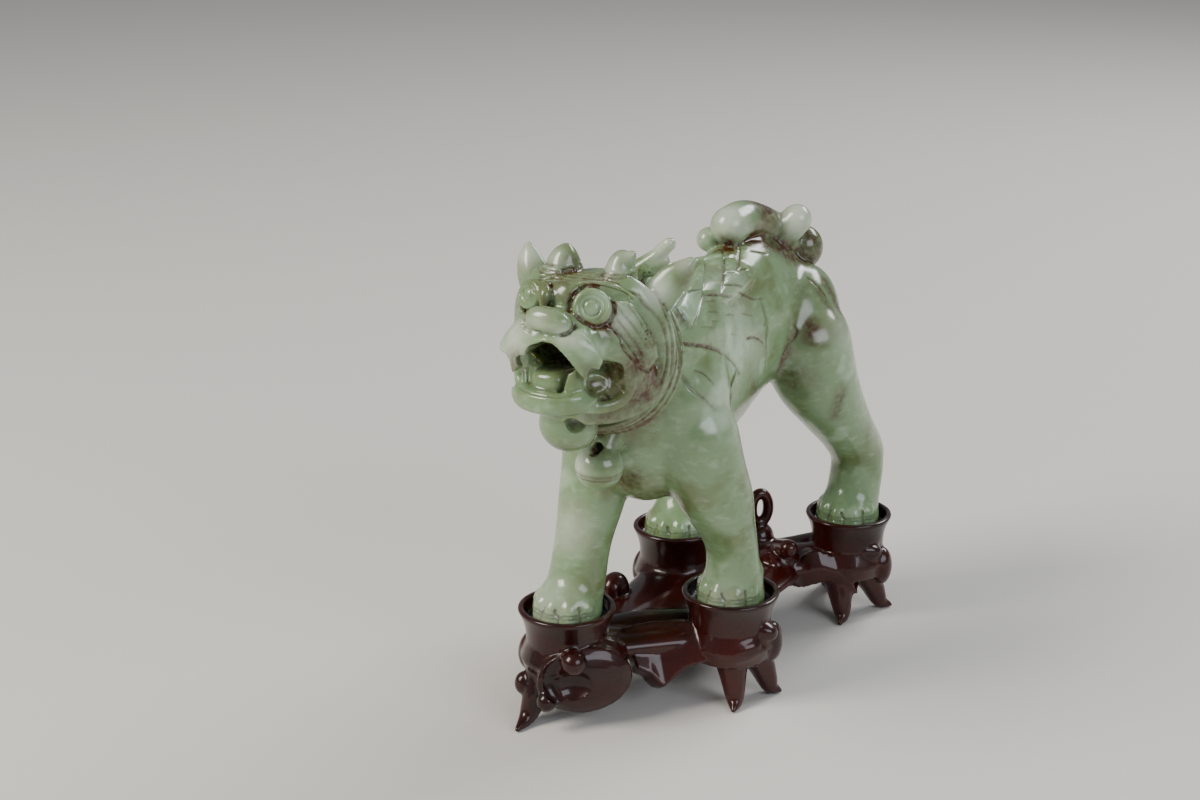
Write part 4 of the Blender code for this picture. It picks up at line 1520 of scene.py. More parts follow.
            # The crest of the lip and the line below the nose.
            draw(on_side(side, ((1.4, -35.6, 12.2), (4.8, -35.0, 13.6), (8.0, -33.6, 13.0),
                                (10.8, -31.4, 9.4))), 0.6, -0.25, 0, 0.2)
        nose = [(6.0 * math.sin(a), -34.0 + abs(math.sin(a)) * 1.6, 13.9 + 3.2 * math.cos(a))
                for a in np.radians(np.arange(0, 361, 15))]
        draw(nose, 0.45, 0.35, 0.4, 0.0)
        draw([(-7.6, -33.4, -0.9), (-4.0, -35.6, -0.9), (0.0, -36.2, -0.9), (4.0, -35.4, -0.8),
              (6.6, -33.0, -0.2)], 0.45, 0.4, 0.25, 0.1)
        return lines

    def dabs(self) -> list[Dab]:
        """Colour clouds in the head's stone, and painted shade inside the mouth and at its corners.

        Returns:
            The clouds.
        """
        return clouds({
            Mark.PALE: (
                (-18, -9, 21, 5, 0.8), (15, -13, 18, 4.6, 1), (20.5, -9, 24, 3, 0.6),
                (11, 0, 24.4, 4.6, 0.9), (-7.4, -16, 22.6, 3.6, 0.6), (6, -16, 22.6, 3.6, 0.8),
                (9.6, -14, 26, 2.4, 0.5), (-9, -34, 10, 6.5, 0.9), (-1, -37, 15, 4, 0.5),
                (5, -36, 12.4, 3.2, 0.7), (8.6, -35, 12, 3, 0.6), (13, -24, 14, 4.4, 0.6)),
            Mark.STAIN: (
                (-20, -8, 16, 4, 0.4), (19.6, -7, 19.6, 3.6, 0.4), (15, -11, 11, 3.4, 0.45),
                (5.6, 0, 18.4, 3.4, 0.35), (-4, -14, 21, 3.4, 0.4), (9.4, -33.5, 4, 3.6, 0.35),
                (-9.8, -33, 3, 3.4, 0.55), (14.6, -21, 4, 2.8, 0.7), (16.4, -16, -0.5, 4, 0.5),
                # The clouds at x 10.6 and -10.6, y -27 are painted shade in the hollows at the
                # mouth's corners.
                (14.6, -17, -4.5, 5, 0.5), (10.6, -27, 0.5, 4, 0.75), (-10.6, -27, 0.5, 4, 0.6),
                # The clouds at (0, -25, 6) and (-6.4, -33, 6) are painted shade inside the open
                # mouth.
                (0, -25, 6, 8, 0.7), (-6.4, -33, 6, 3, 0.6), (10, -27, 12.6, 3.4, 0.6),
                (1.6, -30, 18.8, 3.4, 0.3), (-2.6, -30, 17, 2.2, 0.5), (0, -26, 22, 5, 0.35),
                (8, -22, 22, 4, 0.35), (8, -22, -8, 6, 0.5), (0, -20, 22, 12, 0.25),
                (15, -16, -2, 12, 0.3), (13, -22, 4, 8, 0.3), (2, -30, -6, 8, 0.12),
                (4, -10, -16, 12, 0.4), (14, -6, 4, 10, 0.2)),
            Mark.DARK: (
                (15.6, -18, 9, 3.4, 1), (8, -2, 18.5, 3, 0.8), (4.5, -15.5, 18.5, 2, 0.9)),
        }, self.place)


@dataclass
class Collar:
    """The ringed collar, the curled beard on it, and the bell below.

    Attributes:
        head: The head that it sits behind.
        tilt: Its lean, in degrees.
        bell: The bell's radius.
    """

    head: Head
    tilt: float = -14.0
    bell: float = 5.6

    @property
    def place(self) -> Matrix:
        """The frame of the collar, which leans with the head."""
        return self.head.place @ Matrix.Rotation(math.radians(self.tilt), 4, "X")

    def lay_up(self, clay: Clay) -> None:
        """Lay up the rings, the beard and the bell.

        Args:
            clay: The lumps that it adds to.
        """
        at = self.place
        for radius, lead, thick in ((16.9, -4.4, 1.7), (16.8, -6.6, 1.4), (16.5, -8.6, 1.2)):
            clay.hoop((0, lead, -1.6), (radius, radius * 0.98), thick, at)
        clay.ball((-1.2, -65.8, 82.8), (6.9, 5.9, 6.4))
        clay.ball((-0.4, -66.4, 88.6), (6.2, 6.4, 4.4))
        clay.drum((0.3, -49.0, 78.4), (0.2, -54.0, 72.4), (4.8, 3.6))
        clay.ball((0.2, -55.0, 69.5), (self.bell, self.bell - 0.1, self.bell - 0.1))

    def hollows(self, tools: Clay) -> None:
        """Shape what is cut away for the bowl in the beard and the hole above the bell.

        Args:
            tools: The shapes that are cut away.
        """
        tools.ball((3.6, -70.6, 84.9), (2.5, 2.8, 2.4))
        tools.drum((0.9, -64.0, 74.9), (0.5, -50.0, 73.9), (1.35, 1.35))

    def lines(self, skin: Skin) -> list[Line]:
        """Draw the grooves of the collar and the bell.

        Args:
            skin: The surface that they lie on.

        Returns:
            The lines.
        """
        lines = []
        at = self.place
        turns = np.radians(np.arange(0, 361, 6))
        for radius, lead, stain in ((19.0, -3.6, 0.25), (18.6, -5.4, 0.6), (18.2, -7.6, 0.55),
                                    (17.6, -9.6, 0.5)):
            ring = [(math.sin(a) * radius, lead, math.cos(a) * radius * 0.98 - 1.6) for a in turns]
            lines.append(Line(skin.settled(placed(np.array(ring), at)), 0.4, 0.3, stain, 0.0))
        for drop in (1.0, 2.0):
            reach = math.sqrt(self.bell**2 - drop**2)
            ring = [(0.2 + reach * math.sin(a), -55.0 - reach * math.cos(a), 69.5 - drop)
                    for a in turns]
            lines.append(Line(skin.settled(ring), 0.35, 0.28, 0.5, 0.0))
        return lines

    def dabs(self) -> list[Dab]:
        """Colour clouds in the beard and the bell.

        Returns:
            The clouds.
        """
        return clouds({
            Mark.PALE: (
                (-2, -60, 71, 4, 0.7), (4, -68, 86, 3.5, 0.3)),
            Mark.STAIN: (
                (1, -62, 76, 4, 0.8), (-1, -68, 79, 5, 0.3), (12, -52, 83, 6, 0.5)),
        })


@dataclass
class Mane:
    """Flat pointed locks, laid over each other down each side of the nape.

    Attributes:
        crest: The X of the nape's ridge, across which the locks are mirrored.
        way: The way that the left locks look.
        locks: The left locks, each as its outline and its rise.
        line_depth: How deep the lines round them are.
    """

    crest: float = 2.0
    way: Point = (0.75, -0.1, 1.0)
    line_depth: float = 0.4
    locks: tuple[tuple[tuple[Point, ...], float], ...] = (
        (((2, -10.6, 108.7), (0.6, 2, 107.4), (6.4, -8.2, 107.6), (12.5, -22.1, 104),
          (11.7, -28.5, 105.9), (6.2, -17.8, 108)), 0.45),
        (((6, -20.5, 108.9), (2.4, -10.9, 108.5), (6.6, -18.4, 107.9), (11.2, -28, 106.2),
          (11.6, -36.4, 107.6)), 0.85),
        (((11.8, -37.8, 107.2), (11.4, -28.4, 106.1), (15.7, -41.4, 101.2),
          (12.9, -42.6, 106)), 0.7),
    )

    def lay_up(self, clay: Clay) -> None:
        """Lay up the broad nape.

        Args:
            clay: The lumps that it adds to.
        """
        clay.limb([(1.0, -44, 100.5, 11.6), (1.8, -30, 102.0, 11.8), (2.0, -16, 101.8, 11.0),
                   (2.0, -4, 102.0, 9.4), (1.2, 4, 101.4, 7.8)], flat=0.57, sides=48)

    def lay_locks(self, skin: Skin) -> None:
        """Raise the locks on both sides of the nape.

        Args:
            skin: The surface that they lie on.
        """
        for side in (-1, 1):
            way = (side * self.way[0], *self.way[1:])
            for outline, rise in self.locks:
                skin.lay_flap(on_side(side, outline, self.crest), way, rise)

    def lines(self, skin: Skin) -> list[Line]:
        """Draw the dark lines below the locks' edges, and the parting lines of the nape.

        Args:
            skin: The surface that they lie on.

        Returns:
            The lines.
        """
        marks = (  # places, half width and stain
            (((11.7, -28.8, 105.9), (13.4, -34.2, 104.2), (15.7, -41.4, 101.1)), 0.5, 1),
            (((11.9, -36.6, 107.2), (11.4, -28.2, 106)), 0.4, 0.6),
            (((12.5, -28.6, 105.4), (12.9, -22.2, 103.8)), 0.4, 0.7),
            (((0.4, 2.6, 107.3), (6.6, -8, 107.4), (12.7, -21.8, 103.8)), 0.4, 0.5),
            (((2.8, 6.8, 106.6), (8.1, -3.1, 106.3), (9.4, -6.8, 105.9)), 0.42, 0.7),
            (((9.1, -12.7, 106.6), (10, -7.9, 105.6)), 0.35, 0.4),
            (((0.5, 5.5, 106.6), (2.5, 8, 106.2)), 0.35, 0.4),
            (((1, 3.6, 107.2), (4, 7, 106)), 0.35, 0.5),
            (((9.4, -6.8, 105.9), (9.3, -3.8, 105.5), (9.4, -0.9, 104.6)), 0.4, 0.7),
            (((9.5, -23.9, 107.2), (11.2, -19.5, 105.8)), 0.35, 0.4),
            (((4.5, 7.1, 105), (6.4, 11.8, 104.2)), 0.35, 0.4),
        )
        return [Line(skin.settled(on_side(side, smooth_path(points, 6), self.crest)), width,
                     self.line_depth, stain, 0.1)
                for side in (-1, 1) for points, width, stain in marks]


@dataclass
class Tail:
    """The tail, which rises behind the rump and curls forward in plump lobes."""

    def lay_up(self, clay: Clay) -> None:
        """Lay up the root, the main lobe and the small lobes.

        Args:
            clay: The lumps that it adds to.
        """
        clay.ball((0.6, 37.6, 97.0), (7.4, 7.2, 8.6), (20, 0, 0))
        clay.limb([(-0.4, 8.0, 112.4, 4.9), (0.0, 14.0, 112.8, 4.9), (0.8, 20.0, 111.2, 4.7),
                   (1.8, 26.0, 108.2, 4.8), (2.2, 31.0, 104.6, 5.6)])
        clay.ball((0.6, 17.0, 106.6), (4.4, 9.0, 3.6))
        clay.limb([(5.2, 25.8, 106.4, 3.4), (6.8, 26.8, 109.2, 4.0), (8.3, 27.6, 111.2, 3.9)],
                  facing=(1, -1, 0))
        clay.ball((6.4, 36.0, 102.0), (5.2, 5.2, 5.7))
        clay.limb([(-4.6, 25.0, 104.6, 3.0), (-6.4, 27.0, 107.0, 3.6), (-7.6, 28.6, 108.6, 3.4)],
                  facing=(1, 1, 0))
        clay.ball((-6.4, 8.4, 108.2), (3.0, 3.4, 3.1))
        clay.ball((-4.6, 11.0, 107.4), (3.0, 4.4, 3.0))

    def dabs(self) -> list[Dab]:
        """Colour clouds in the tail.

        Returns:
            The clouds.
        """
        return clouds({
            Mark.PALE: (
                (0.4, 6, 114, 5.4, 1), (9.4, 26, 112, 5.6, 1), (-7.4, 6, 109.6, 4, 0.4)),
            Mark.STAIN: (
                (1.4, 19, 113.6, 7, 0.95), (2.6, 13, 107.4, 6, 0.9), (7.4, 35, 103.6, 8, 0.75),
                (5, 24, 104.6, 5, 0.9), (1, 4, 108, 3.6, 0.9), (9, 38, 98, 5, 0.5)),
        })


@dataclass
class JadeLion:
    """The whole lion, carved from one stone.

    Attributes:
        finish: Its finish.
        voxel: The fineness of the carved skin.
        triangles: The most that the finished piece may have.
        crack_width: The share of a crack's stained width that is cut.
        crack_depth: The share of its depth that is left after polishing.
    """

    finish: PolishedJade = field(default_factory=PolishedJade)
    voxel: float = 0.36
    triangles: int = 196_000
    crack_width: float = 0.72
    crack_depth: float = 0.8

    def fissures(self, skin: Skin) -> list[Line]:
        """Draw the russet cracks in the flanks, most of them in the left one.

        Args:
            skin: The surface that they lie on.

        Returns:
            The lines.
        """
        left = (  # places, half width, depth and stain
            (((17.8, -50.8, 100.6), (16.2, -43.2, 97.9), (17, -38.7, 96.5),
              (17.3, -33.3, 94.5), (16.7, -26.5, 91.3)), 0.65, 0.5, 1),
            (((16.7, -26.5, 91.3), (16.2, -21.9, 88.3), (16.2, -19, 85.6),
              (16.2, -17.2, 83.2)), 0.4, 0.3, 0.7),
            (((16.2, -19, 85.6), (16.7, -21.5, 83.8), (17.3, -23.7, 82.4),
              (20, -29.6, 82), (20.6, -31, 78.5)), 0.6, 0.5, 1),
            (((12.2, -30.2, 105.8), (12.5, -24.5, 104.3), (12.7, -19.4, 102.9),
              (12.4, -15.3, 101.8)), 0.45, 0.4, 0.8),
            (((11.2, -19.4, 105.5), (11.7, -16.1, 104.6), (11.8, -10.7, 103.2),
              (11.7, -8.9, 102.4)), 0.42, 0.4, 0.8),
            (((12.3, -13.6, 102.6), (10.3, -5.4, 99.7), (11, -2.1, 97.9),
              (11.5, 3.6, 96.6)), 0.45, 0.4, 0.8),
            (((11.4, 1.9, 96.9), (12.6, 2.1, 93.8), (13.3, 2.3, 90.3), (13.8, 1.1, 86.7),
              (13.8, 1.8, 83), (13.3, 2.3, 79.2)), 1, 0.5, 0.3),
            (((14.5, -11.2, 90.6), (14.2, -7.2, 90), (14.1, -3.6, 88.5),
              (14, -0.3, 86.4)), 0.5, 0.4, 0.9),
            (((14.6, 15.1, 88), (15.3, 15.3, 85.9), (15, 14.4, 84.2), (14.2, 13.1, 82.6),
              (13.6, 12.3, 80.9), (13, 12.2, 78.6), (12, 12.4, 76.2)), 0.6, 0.35, 0.8),
            (((15, -31.8, 102.5), (14.7, -25.9, 100.9)), 0.3, 0.2, 0.45),
            (((14.9, -23.4, 99.7), (12.8, -13.6, 96.8)), 0.3, 0.25, 0.6),
            (((12.4, -9.9, 96.3), (12.7, -3.8, 94.2)), 0.3, 0.25, 0.6),
            (((13.6, -31.4, 104.5), (13.2, -24.5, 103.1)), 0.3, 0.2, 0.4),
            (((15.8, -32, 100.6), (15.7, -27.6, 99.3)), 0.3, 0.2, 0.4),
            (((16, -22.4, 94.9), (14.7, -15.6, 92.6)), 0.3, 0.2, 0.4),
            (((16.1, -37.9, 100.7), (16.3, -31.5, 98.9)), 0.3, 0.2, 0.4),
            (((16.8, -41.5, 91.5), (17.9, -39.5, 90.4), (19, -38.1, 88.7),
              (19.8, -36.9, 86.9)), 0.4, 0.3, 0.6),
            (((13.1, 23.9, 97.7), (15.9, 24.8, 95.3), (18, 26.2, 92.4)), 0.45, 0.1, 0.8),
            (((18.4, -50.6, 98.4), (16.3, -43.3, 96.1)), 0.35, 0.3, 0.6),
            (((17.6, -50, 94.4), (15.5, -44.4, 90.6), (17.3, -42.4, 87),
              (19.3, -40, 84.6), (20.6, -37.4, 81)), 1.1, 0.45, 0.3),
        )
        right = (
            ((-17.4, -30, 94), (-15, -18, 93.5), (-14, -8, 91)),
            ((-15.6, -22, 86), (-14.4, -12, 84), (-13.4, -2, 80)),
            ((-13, 6, 96), (-14.6, 14, 91), (-15.4, 17, 84)),
        )
        # Broad veils of rust, which are colour only.
        veils = (
            (((12, 27, 99.6), (16.2, 29, 94), (19.6, 31, 88), (22, 34, 80)),
             2.2, 0.6),
            (((13.7, 24, 97.5), (18, 25, 92), (21, 26, 86)), 1.6, 0.45),
            (((17, 17, 90), (18.3, 18, 86.4), (18, 16.4, 82)), 1.8, 0.55),
            (((14.5, 14.5, 87), (14, 12.6, 80), (11.6, 13.6, 74)), 1.6, 0.6),
            (((24.3, 23.7, 72.2), (22, 25, 66), (20, 27, 60)), 2, 0.5),
            (((2, 10, 107), (6, 18, 104.6), (9, 26, 101), (8, 34, 97)),
             2.6, 0.6),
            (((16, -8, 79), (13, -2, 74), (11, 6, 73)), 2.2, 0.5),
            (((8, -46, 66), (0, -48, 61), (-8, -46, 64)), 3, 0.5),
            (((17, -49, 92), (12, -53, 82), (4, -58, 77)), 1.4, 0.7),
        )
        lines = [Line(skin.settled(smooth_path(points, 8)), width * self.crack_width,
                      depth * self.crack_depth, stain)
                 for points, width, depth, stain in left]
        lines += [Line(skin.settled(smooth_path(points, 8)), 0.45, 0.3, 0.6, 0.25)
                  for points in right]
        lines += [Line(skin.settled(smooth_path(points, 4)), width, 0.0, stain, 0.3)
                  for points, width, stain in veils]
        return lines

    def dabs(self) -> list[Dab]:
        """Colour clouds in the trunk and legs.

        Returns:
            The clouds.
        """
        return clouds({
            Mark.PALE: (
                (22, 25, 84, 7, 0.35), (21, 52, 52, 9, 0.5), (-14, -47, 48, 8, 0.5),
                (21, -34, 82, 9, 0.4), (15, -14, 97, 11, 0.4), (12, -6, 84, 9, 0.3),
                (-16, -50, 29, 9, 0.5), (16, -24, 28, 7, 0.3), (18, 12, 30, 9, 0.3),
                (-20, -30, 78, 9, 0.3)),
            Mark.STAIN: (
                (18, 17.5, 86, 6, 0.28), (15, 15, 73, 8, 0.4), (14, 20, 96, 7, 0.25),
                (0, -44, 60, 9, 0.35), (7, -36, 57, 7, 0.3), (6, 38, 92, 8, 0.4),
                (18, -14, 52, 6, 0.25), (-20, 20, 82, 8, 0.3)),
        })

    def build(self) -> bpy.types.Object:
        """Carve the stone.

        Returns:
            The finished piece.
        """
        body, head, mane, tail = Body(), Head(), Mane(), Tail()
        collar = Collar(head)
        clay = Clay()
        clay.keep(body.rough_out())
        body.toes(clay)
        for add in (head.skull, head.eyes, head.muzzle, head.cheeks, head.ears_and_horns,
                    collar.lay_up, mane.lay_up, tail.lay_up):
            add(clay)
        lion = clay.fuse("lion", self.voxel, passes=4)
        tools = Clay()
        head.hollows(tools)
        collar.hollows(tools)
        cut(lion, tools.joined())
        level_off(lion, body.sole)
        finish_with(lion, "SMOOTH", factor=0.5, iterations=2)
        skin = Skin(lion)
        head.dress_eyes(skin)
        mane.lay_locks(skin)
        lines = [*head.lines(skin), *collar.lines(skin), *body.toe_lines(skin),
                 *mane.lines(skin), *self.fissures(skin)]
        skin.engrave(lines)
        thin_out(lion, self.triangles)
        skin = Skin(lion)
        skin.colour("stone", lines, [*self.dabs(), *head.dabs(), *collar.dabs(), *tail.dabs()])
        dress(lion, self.finish.material("polished_nephrite_jade", "stone"))
        piece = set_in_frame(lion, "lion_stone", "jade_lion")
        return piece


# The stand --------------------------------------------------------------------


@dataclass
class RosewoodStand:
    """A gnarled root with four turned cups, all one piece of wood.

    Attributes:
        cups: The middle and the radius of each cup, as (x, y, radius).
        rim: The height of the rims.
        depth: How deep the cups are.
        wall: How thick their walls are.
        deck: The middle of the deck.
        voxel: The fineness of the skin.
        triangles: The most that the finished piece may have.
        finish: Its finish.
        facing: The way that the front panels look.
        turn: The turn of their lumps, in degrees.
    """

    cups: tuple[tuple[float, float, float], ...] = (
        (-14.5, -45.8, 11.9), (14.8, -16.8, 12), (-17.4, 13.6, 11.5), (17.9, 45.8, 11.5))
    rim: float = 28.0
    depth: float = 3.4
    wall: float = 1.35
    deck: float = 14.6
    voxel: float = 0.42
    triangles: int = 150_000
    finish: LacqueredRosewood = field(default_factory=LacqueredRosewood)
    facing: Point = (0.7, -0.71, 0.0)
    turn: Point = (0.0, 0.0, 44.0)

    def front(self, pair: tuple[int, int], along: float, out: float, z: float) -> Point:
        """A place on the front of a pair of cups.

        Args:
            pair: The numbers of the two cups.
            along: How far from the first cup towards the second.
            out: How far out from the line that joins them.
            z: The height.

        Returns:
            The place.
        """
        a, b = (Vector(self.cups[number][:2]) for number in pair)
        run = (b - a).normalized()
        spot = a + run * along + Vector((run.y, -run.x)) * out
        return (spot.x, spot.y, z)

    def fore(self, along: float, out: float, z: float) -> Point:
        """A place on the front panel, which joins the two fore cups."""
        return self.front((0, 1), along, out, z)

    def hind(self, along: float, out: float, z: float) -> Point:
        """A place on the front of the two hind cups."""
        return self.front((2, 3), along, out, z)

    def lay_deck(self, clay: Clay) -> None:
        """Lay up the deck and the four stumps below the cups.

        Args:
            clay: The lumps that it adds to.
        """
        right_fore, left_fore, right_hind, left_hind = (cup[:2] for cup in self.cups)
        for a, b, width in (((-13, -36), (-15.5, 8), 9.0), ((-3, -21), (-3, 22), 11.0),
                            ((7, -16), (6, 26), 7.0), ((-2, -28), (5, -10), 5.5)):
            middle = ((a[0] + b[0]) / 2, (a[1] + b[1]) / 2)
            clay.limb([(*a, self.deck, width), (*middle, self.deck - 0.4, width - 1.0),
                       (*b, self.deck, width)], flat=0.36)
        for a, b in ((right_fore, left_fore), (right_hind, left_hind)):
            clay.limb([(*a, self.deck + 1.4, 4.6), (*b, self.deck + 1.4, 4.6)], flat=0.7)
        for x, y, radius in self.cups:
            clay.drum((x, y, 11.0), (x, y, 15.0), (radius - 2.0, radius - 0.6))
            clay.drum((x, y, 15.0), (x, y, 21.0), (radius - 0.4, radius - 2.6))

    def lay_fore_panel(self, clay: Clay) -> None:
        """Lay up the domed disc, the pointed cusp, the arch and the lobes under the cup.

        Args:
            clay: The lumps that it adds to.
        """
        fore, facing = self.fore, self.facing
        stand = Vector(facing).to_track_quat("Z", "Y").to_matrix().to_4x4()
        disc = ((9.0, -9.0), (11.2, -3.0), (11.8, -0.4), (11.8, 0.3), (11.3, 0.7), (9.0, 1.9),
                (6, 2.7), (3, 3.1), (0.6, 3.2))
        clay.turned(disc, Matrix.Translation(fore(2.2, 9.4, 12.4)) @ Matrix.Diagonal(
            (1.0, 1.0, 0.74, 1.0)) @ stand, sides=72)
        clay.ball(fore(3.4, 4.4, 13.8), (10.6, 5.0, 8.4), self.turn, boxy=2.3)
        clay.limb([(*fore(9, -1, 16.4), 4.2), (*fore(16, -2.4, 16.4), 3.0),
                   (*fore(22, -3.0, 16.6), 2.2)])
        panel = (
            ((14, -0.6, 20.4), (18, -1, 20.8), (22, -1.4, 21), (28, -0.4, 21),
             (34, 2.8, 20.8), (41, 6.2, 19.8), (47, 6, 19)),
            ((15, 3.6, 16.6), (19, 3.8, 16), (22, 4.2, 14.8), (28, 4.6, 16.2),
             (34, 6.2, 16.8), (41, 8.8, 16), (47, 7.4, 15)),
            ((16, 6.8, 12.6), (19.5, 7.6, 11), (22.1, 8.6, 7.6), (28, 7.4, 11.9),
             (34.5, 8, 13.4), (41, 9.6, 11.6), (46.5, 8, 9.6)),
        )
        clay.slab([[fore(*spot) for spot in edge] for edge in panel], 5.0, fore(30, -10, 15),
                  crisp=True)
        clay.limb([(*fore(10, -6.4, 17.2), 4.0), (*fore(20, -7.4, 17.4), 4.4),
                   (*fore(31, -6.4, 17.2), 4.4)], flat=0.8)
        clay.limb([(*fore(12, -10.6, 15.4), 4.4), (*fore(22, -12.0, 15.4), 4.8),
                   (*fore(32, -10.6, 15.4), 4.8)], flat=0.7)
        clay.ball(fore(41.6, 8.4, 15.2), (5.2, 3.0, 3.2), (10, -14, 44), boxy=2.4)
        clay.ball(fore(47.0, 6.4, 19.4), (4.4, 3.0, 2.6), (0, 16, 20), boxy=2.4)
        clay.ball(fore(51.0, 4.0, 14.8), (2.6, 3.6, 5.2), (0, 0, 20))
        clay.ball((-12.4, -58.6, 8.2), (2.4, 2.4, 2.6))
        clay.ball((-21.4, -54.4, 9.2), (2.4, 2.6, 3.0))

    def lay_hind_panel(self, clay: Clay) -> None:
        """Lay up the leaf with its knob, the fin over the arch, and the lobes.

        Args:
            clay: The lumps that it adds to.
        """
        hind = self.hind
        leaf = (
            ((23.4, 6.2, 20.8), (26.6, 7.8, 18.9), (29.6, 8.2, 16.5), (31.9, 8.4, 13.4),
             (32.7, 8.4, 10.5)),
            ((23.4, 6.4, 20.5), (25.4, 9, 17.9), (27.3, 9.7, 15.5), (29.8, 9.7, 12.7),
             (32.5, 8.6, 10.4)),
            ((23.4, 6.2, 20.2), (24.2, 7.8, 17), (25.5, 8.4, 14.4), (28.4, 8.8, 11.8),
             (31.8, 8.6, 10.2)),
        )
        fin = (
            ((33, 6.8, 19), (35, 7.2, 20.2), (37.4, 7.4, 20.6), (41.8, 7.8, 18.4),
             (44.9, 8.4, 14.9), (47, 8.8, 11), (48.4, 9, 7.6)),
            ((33, 8.4, 14.5), (35.3, 9.2, 15.4), (38, 9.6, 15.8), (41.6, 9.8, 14.6),
             (44.2, 10, 12.5), (46.5, 9.8, 9.9), (48.4, 9.2, 7.5)),
            ((33, 8.2, 9.9), (35.5, 8.4, 10.6), (38.8, 8.6, 11.2), (41.5, 8.8, 10.9),
             (43.6, 9, 10.1), (46, 9, 8.8), (48.3, 9, 7.3)),
        )
        for edges in (leaf, fin):
            clay.slab([[hind(*spot) for spot in edge] for edge in edges], 5.0,
                      hind(36, -10, 14), crisp=True)
        clay.ball(hind(27.4, 3.4, 17.0), (5.6, 5.0, 3.8), self.turn)
        clay.limb([(*hind(36.0, 3.6, 14.6), 4.6), (*hind(45.0, 4.0, 13.4), 4.4)])
        clay.limb([(*hind(25.0, 3.4, 15.6), 3.4), (*hind(30.6, 5.0, 14.4), 3.4),
                   (*hind(36.0, 4.6, 14.6), 3.8)])
        clay.limb([(*hind(27.8, 2.6, 20.0), 2.4), (*hind(28.6, 8.6, 22.0), 2.5)])
        clay.ball(hind(51.2, 7.4, 19.0), (3.8, 2.6, 2.4), (0, 12, 44), boxy=2.4)
        clay.ball(hind(56.2, 5.4, 13.6), (2.6, 3.6, 5.2), (0, 0, 20))

    def lay_feet(self, clay: Clay) -> None:
        """Lay up short legs that end in points curling outwards.

        Args:
            clay: The lumps that it adds to.
        """
        feet = (  # where each leaves the root, lands, and points
            ((-17.5, -51), (-18.8, -57), (-18.6, -62)),
            ((17, -20), (20, -23.4), (21.2, -26.4)),
            ((20, -14), (24, -12), (26, -10.6)),
            ((18, 40), (21.4, 36.4), (22.2, 33.2)),
            ((22, 47), (26.4, 50), (28.8, 51.6)),
            ((-20, 12), (-24.4, 9.4), (-26.6, 7.6)),
            ((-18, -40), (-22.6, -36), (-25, -34)),
            ((-18, 17), (-21, 22.4), (-22.4, 25.2)),
            ((13, 49), (8.6, 54.6), (6.6, 57.2)),
        )
        for leaves, lands, points in feet:
            knee = ((leaves[0] + lands[0]) / 2, (leaves[1] + lands[1]) / 2)
            clay.limb([(*leaves, self.deck - 2, 4.8), (*knee, 7.6, 3.4), (*lands, 2.2, 2.2),
                       (*points, 0.7, 0.7)], facing=(0.2, 0.1, 1))

    def lay_rear(self, clay: Clay) -> None:
        """Lay up the plainer swellings on the far sides, and the knotted ring.

        Args:
            clay: The lumps that it adds to.
        """
        clay.ball((-21.6, -11.4, 17.6), (3.6, 4.4, 4.6))
        clay.ball((-24.0, -46.0, 14.0), (3.4, 5.0, 5.4))
        clay.ball((-26.4, 13.0, 13.8), (3.0, 5.0, 5.6))
        clay.ball((-14.0, 24.0, 13.8), (5.0, 3.4, 5.2), (0, 0, 20))
        clay.ball((15.0, 56.0, 13.8), (5.4, 3.2, 5.4))
        clay.limb([(-6, 31, 14.5, 4.6), (1, 38, 14.0, 4.4), (9, 48, 14.5, 4.4)], flat=1.1)
        clay.ball((-4.0, 37.0, 18.6), (3.6, 4.2, 4.4))
        knot = Matrix.Translation((-4.2, 36.6, 27.4)) @ Matrix.Rotation(math.radians(48.4), 4, "Z")
        clay.hoop((0, 0, 0), (2.41, 4.2), 1.55, knot)

    def add_cups(self, stand: bpy.types.Object) -> None:
        """Add the four turned cups to the root, and hollow them.

        Args:
            stand: The root.
        """
        size = 12.0  # both shapes are turned at this radius and then brought to each cup's own
        inner = size - self.wall
        floor = self.rim - self.depth
        outside = Clay().turned((
            (size - 3.0, 15.0), (size - 2.2, 17.6), (size - 1.95, 20.0), (size - 1.8, 22.4),
            (size - 1.2, 24.8), (size - 0.4, 26.6), (size, 27.4), (size - 0.1, 27.8),
            (size - 0.45, self.rim)), sides=96)
        inside = Clay().turned((
            (inner - 0.9, floor), (inner - 0.5, floor + 0.25), (inner - 0.1, floor + 0.9),
            (inner, floor + 2.6), (inner + 0.15, self.rim + 1.0)), sides=96)
        for model, operation in ((outside, "UNION"), (inside, "DIFFERENCE")):
            for x, y, radius in self.cups:
                tool = model.copy()
                tool.data = model.data.copy()
                bpy.context.scene.collection.objects.link(tool)
                share = radius / size
                tool.data.transform(Matrix.Translation((x, y, 0))
                                    @ Matrix.Diagonal((share, share, 1, 1)))
                cut(stand, tool, operation)
            bpy.data.objects.remove(model)

    def build(self) -> bpy.types.Object:
        """Carve the wood.

        Returns:
            The finished piece.
        """
        clay = Clay()
        for add in (self.lay_deck, self.lay_fore_panel, self.lay_hind_panel, self.lay_feet,
                    self.lay_rear):
            add(clay)
        stand = clay.fuse("stand", self.voxel, passes=3)
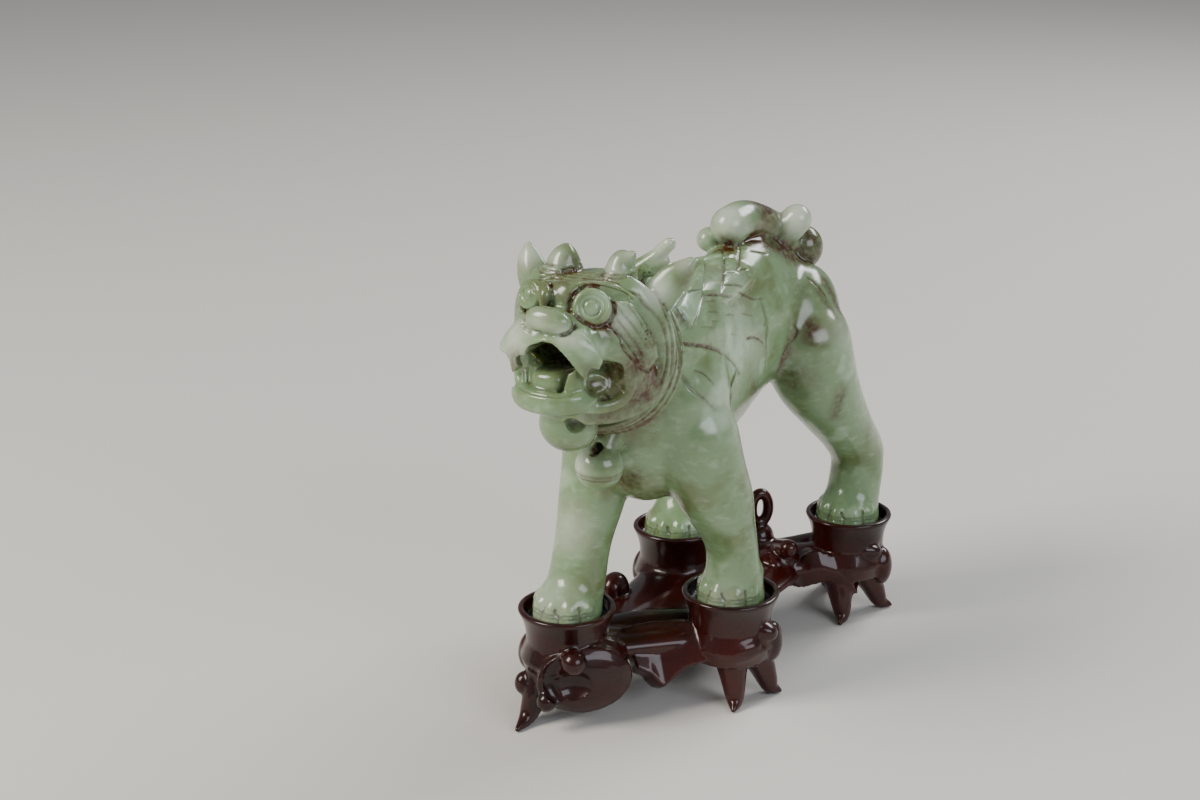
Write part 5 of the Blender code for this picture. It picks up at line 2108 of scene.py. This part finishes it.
        # A crescent groove and a scoop in the face of the disc, and a curl above them.
        tools = Clay()
        cut(stand, tools.limb([(*self.fore(-3.0, 12.4, 19.6), 1.4),
                               (*self.fore(-6.0, 11.4, 16.0), 2.5),
                               (*self.fore(-6.0, 11.8, 11.6), 2.3),
                               (*self.fore(-3.2, 13.2, 7.8), 1.2)]))
        cut(stand, tools.ball(self.fore(-2.0, 15.2, 12.4), (6.3, 5.4, 5.0), self.turn))
        cut(stand, tools.limb([(*self.fore(-0.8, 5.0, 17.6), 2.6),
                               (*self.fore(-1.1, 12.0, 18.4), 3.2)]), "UNION")
        finish_with(stand, "SMOOTH", factor=0.5, iterations=2)
        self.add_cups(stand)
        level_off(stand, 0.0)
        thin_out(stand, self.triangles)
        dress(stand, self.finish.material("lacquered_rosewood_carved"))
        piece = set_in_frame(stand, "stand_root", "rosewood_stand")
        return piece


# The studio -------------------------------------------------------------------


@dataclass
class Studio:
    """A pale floor, soft lights and the camera.

    Attributes:
        eye: Where the camera stands, in millimetres from the middle of the footprint.
        look: The way it looks.
        lens: Its focal length in millimetres.
        sensor: The width of its sensor in millimetres.
        floor: The floor's finish.
        floor_width: The floor's width in metres, far more than the camera sees.
        room: How strong the room's even light is.
        aim: The height in metres that the softboxes look at.
    """

    eye: Point = (220.3, -407.3, 228.0)
    look: Point = (-0.4913, 0.8112, -0.3173)
    lens: float = 60.0
    sensor: float = 36.0
    floor_width: float = 16.0
    room: float = 0.3
    aim: float = 0.06
    floor: PaleFloor = field(default_factory=PaleFloor)

    def lay_floor(self) -> None:
        """Lay the floor, far wider than the camera sees."""
        bpy.ops.object.select_all(action="DESELECT")
        bpy.ops.mesh.primitive_plane_add(size=self.floor_width)
        floor = bpy.context.object
        floor.name = "floor"
        floor.data.materials.append(self.floor.material("pale_painted_board"))

    def hang_lights(self) -> None:
        """Hang three softboxes and set the even light of the room."""
        world = bpy.data.worlds.new("room")
        bpy.context.scene.world = world
        world.use_nodes = True
        plug(world.node_tree.nodes["Background"],
             {"Color": srgb("#eceef2"), "Strength": self.room})
        target = Vector((0, 0, self.aim))
        for name, spot, size, power, colour in (  # metres and watts
            ("key", (-0.55, -0.75, 0.80), (0.45, 0.60), 14.0, "#fff8ee"),
            ("fill", (0.95, -0.30, 0.55), (0.70, 0.50), 5.0, "#f2f5ff"),
            ("back", (0.30, 0.85, 0.75), (0.60, 0.30), 7.0, "#ffffff"),
        ):
            bpy.ops.object.light_add(type="AREA", location=spot)
            lamp = bpy.context.object
            lamp.name = name
            lamp.data.shape = "RECTANGLE"
            lamp.data.size, lamp.data.size_y = size
            lamp.data.energy = power
            lamp.data.color = srgb(colour)[:3]
            lamp.rotation_euler = (target - Vector(spot)).to_track_quat("-Z", "Y").to_euler()

    def stand_camera(self) -> None:
        """Stand the camera and make it the scene's own."""
        turn = Vector(self.look).to_track_quat("-Z", "Y").to_euler()
        bpy.ops.object.camera_add(location=Vector(self.eye) * MM, rotation=turn)
        camera = bpy.context.object
        camera.data.lens = self.lens
        camera.data.sensor_width = self.sensor
        camera.data.clip_start = 0.01
        bpy.context.scene.camera = camera


def main() -> None:
    """Build the studio, the stand and the lion, and report each piece."""
    logging.basicConfig(level=logging.INFO, format="%(name)s: %(message)s")
    studio = Studio()
    studio.lay_floor()
    studio.hang_lights()
    studio.stand_camera()
    for maker in (RosewoodStand(), JadeLion()):
        piece = maker.build()
        log.info("built %s", piece.name)


if __name__ == "__main__":
    main()
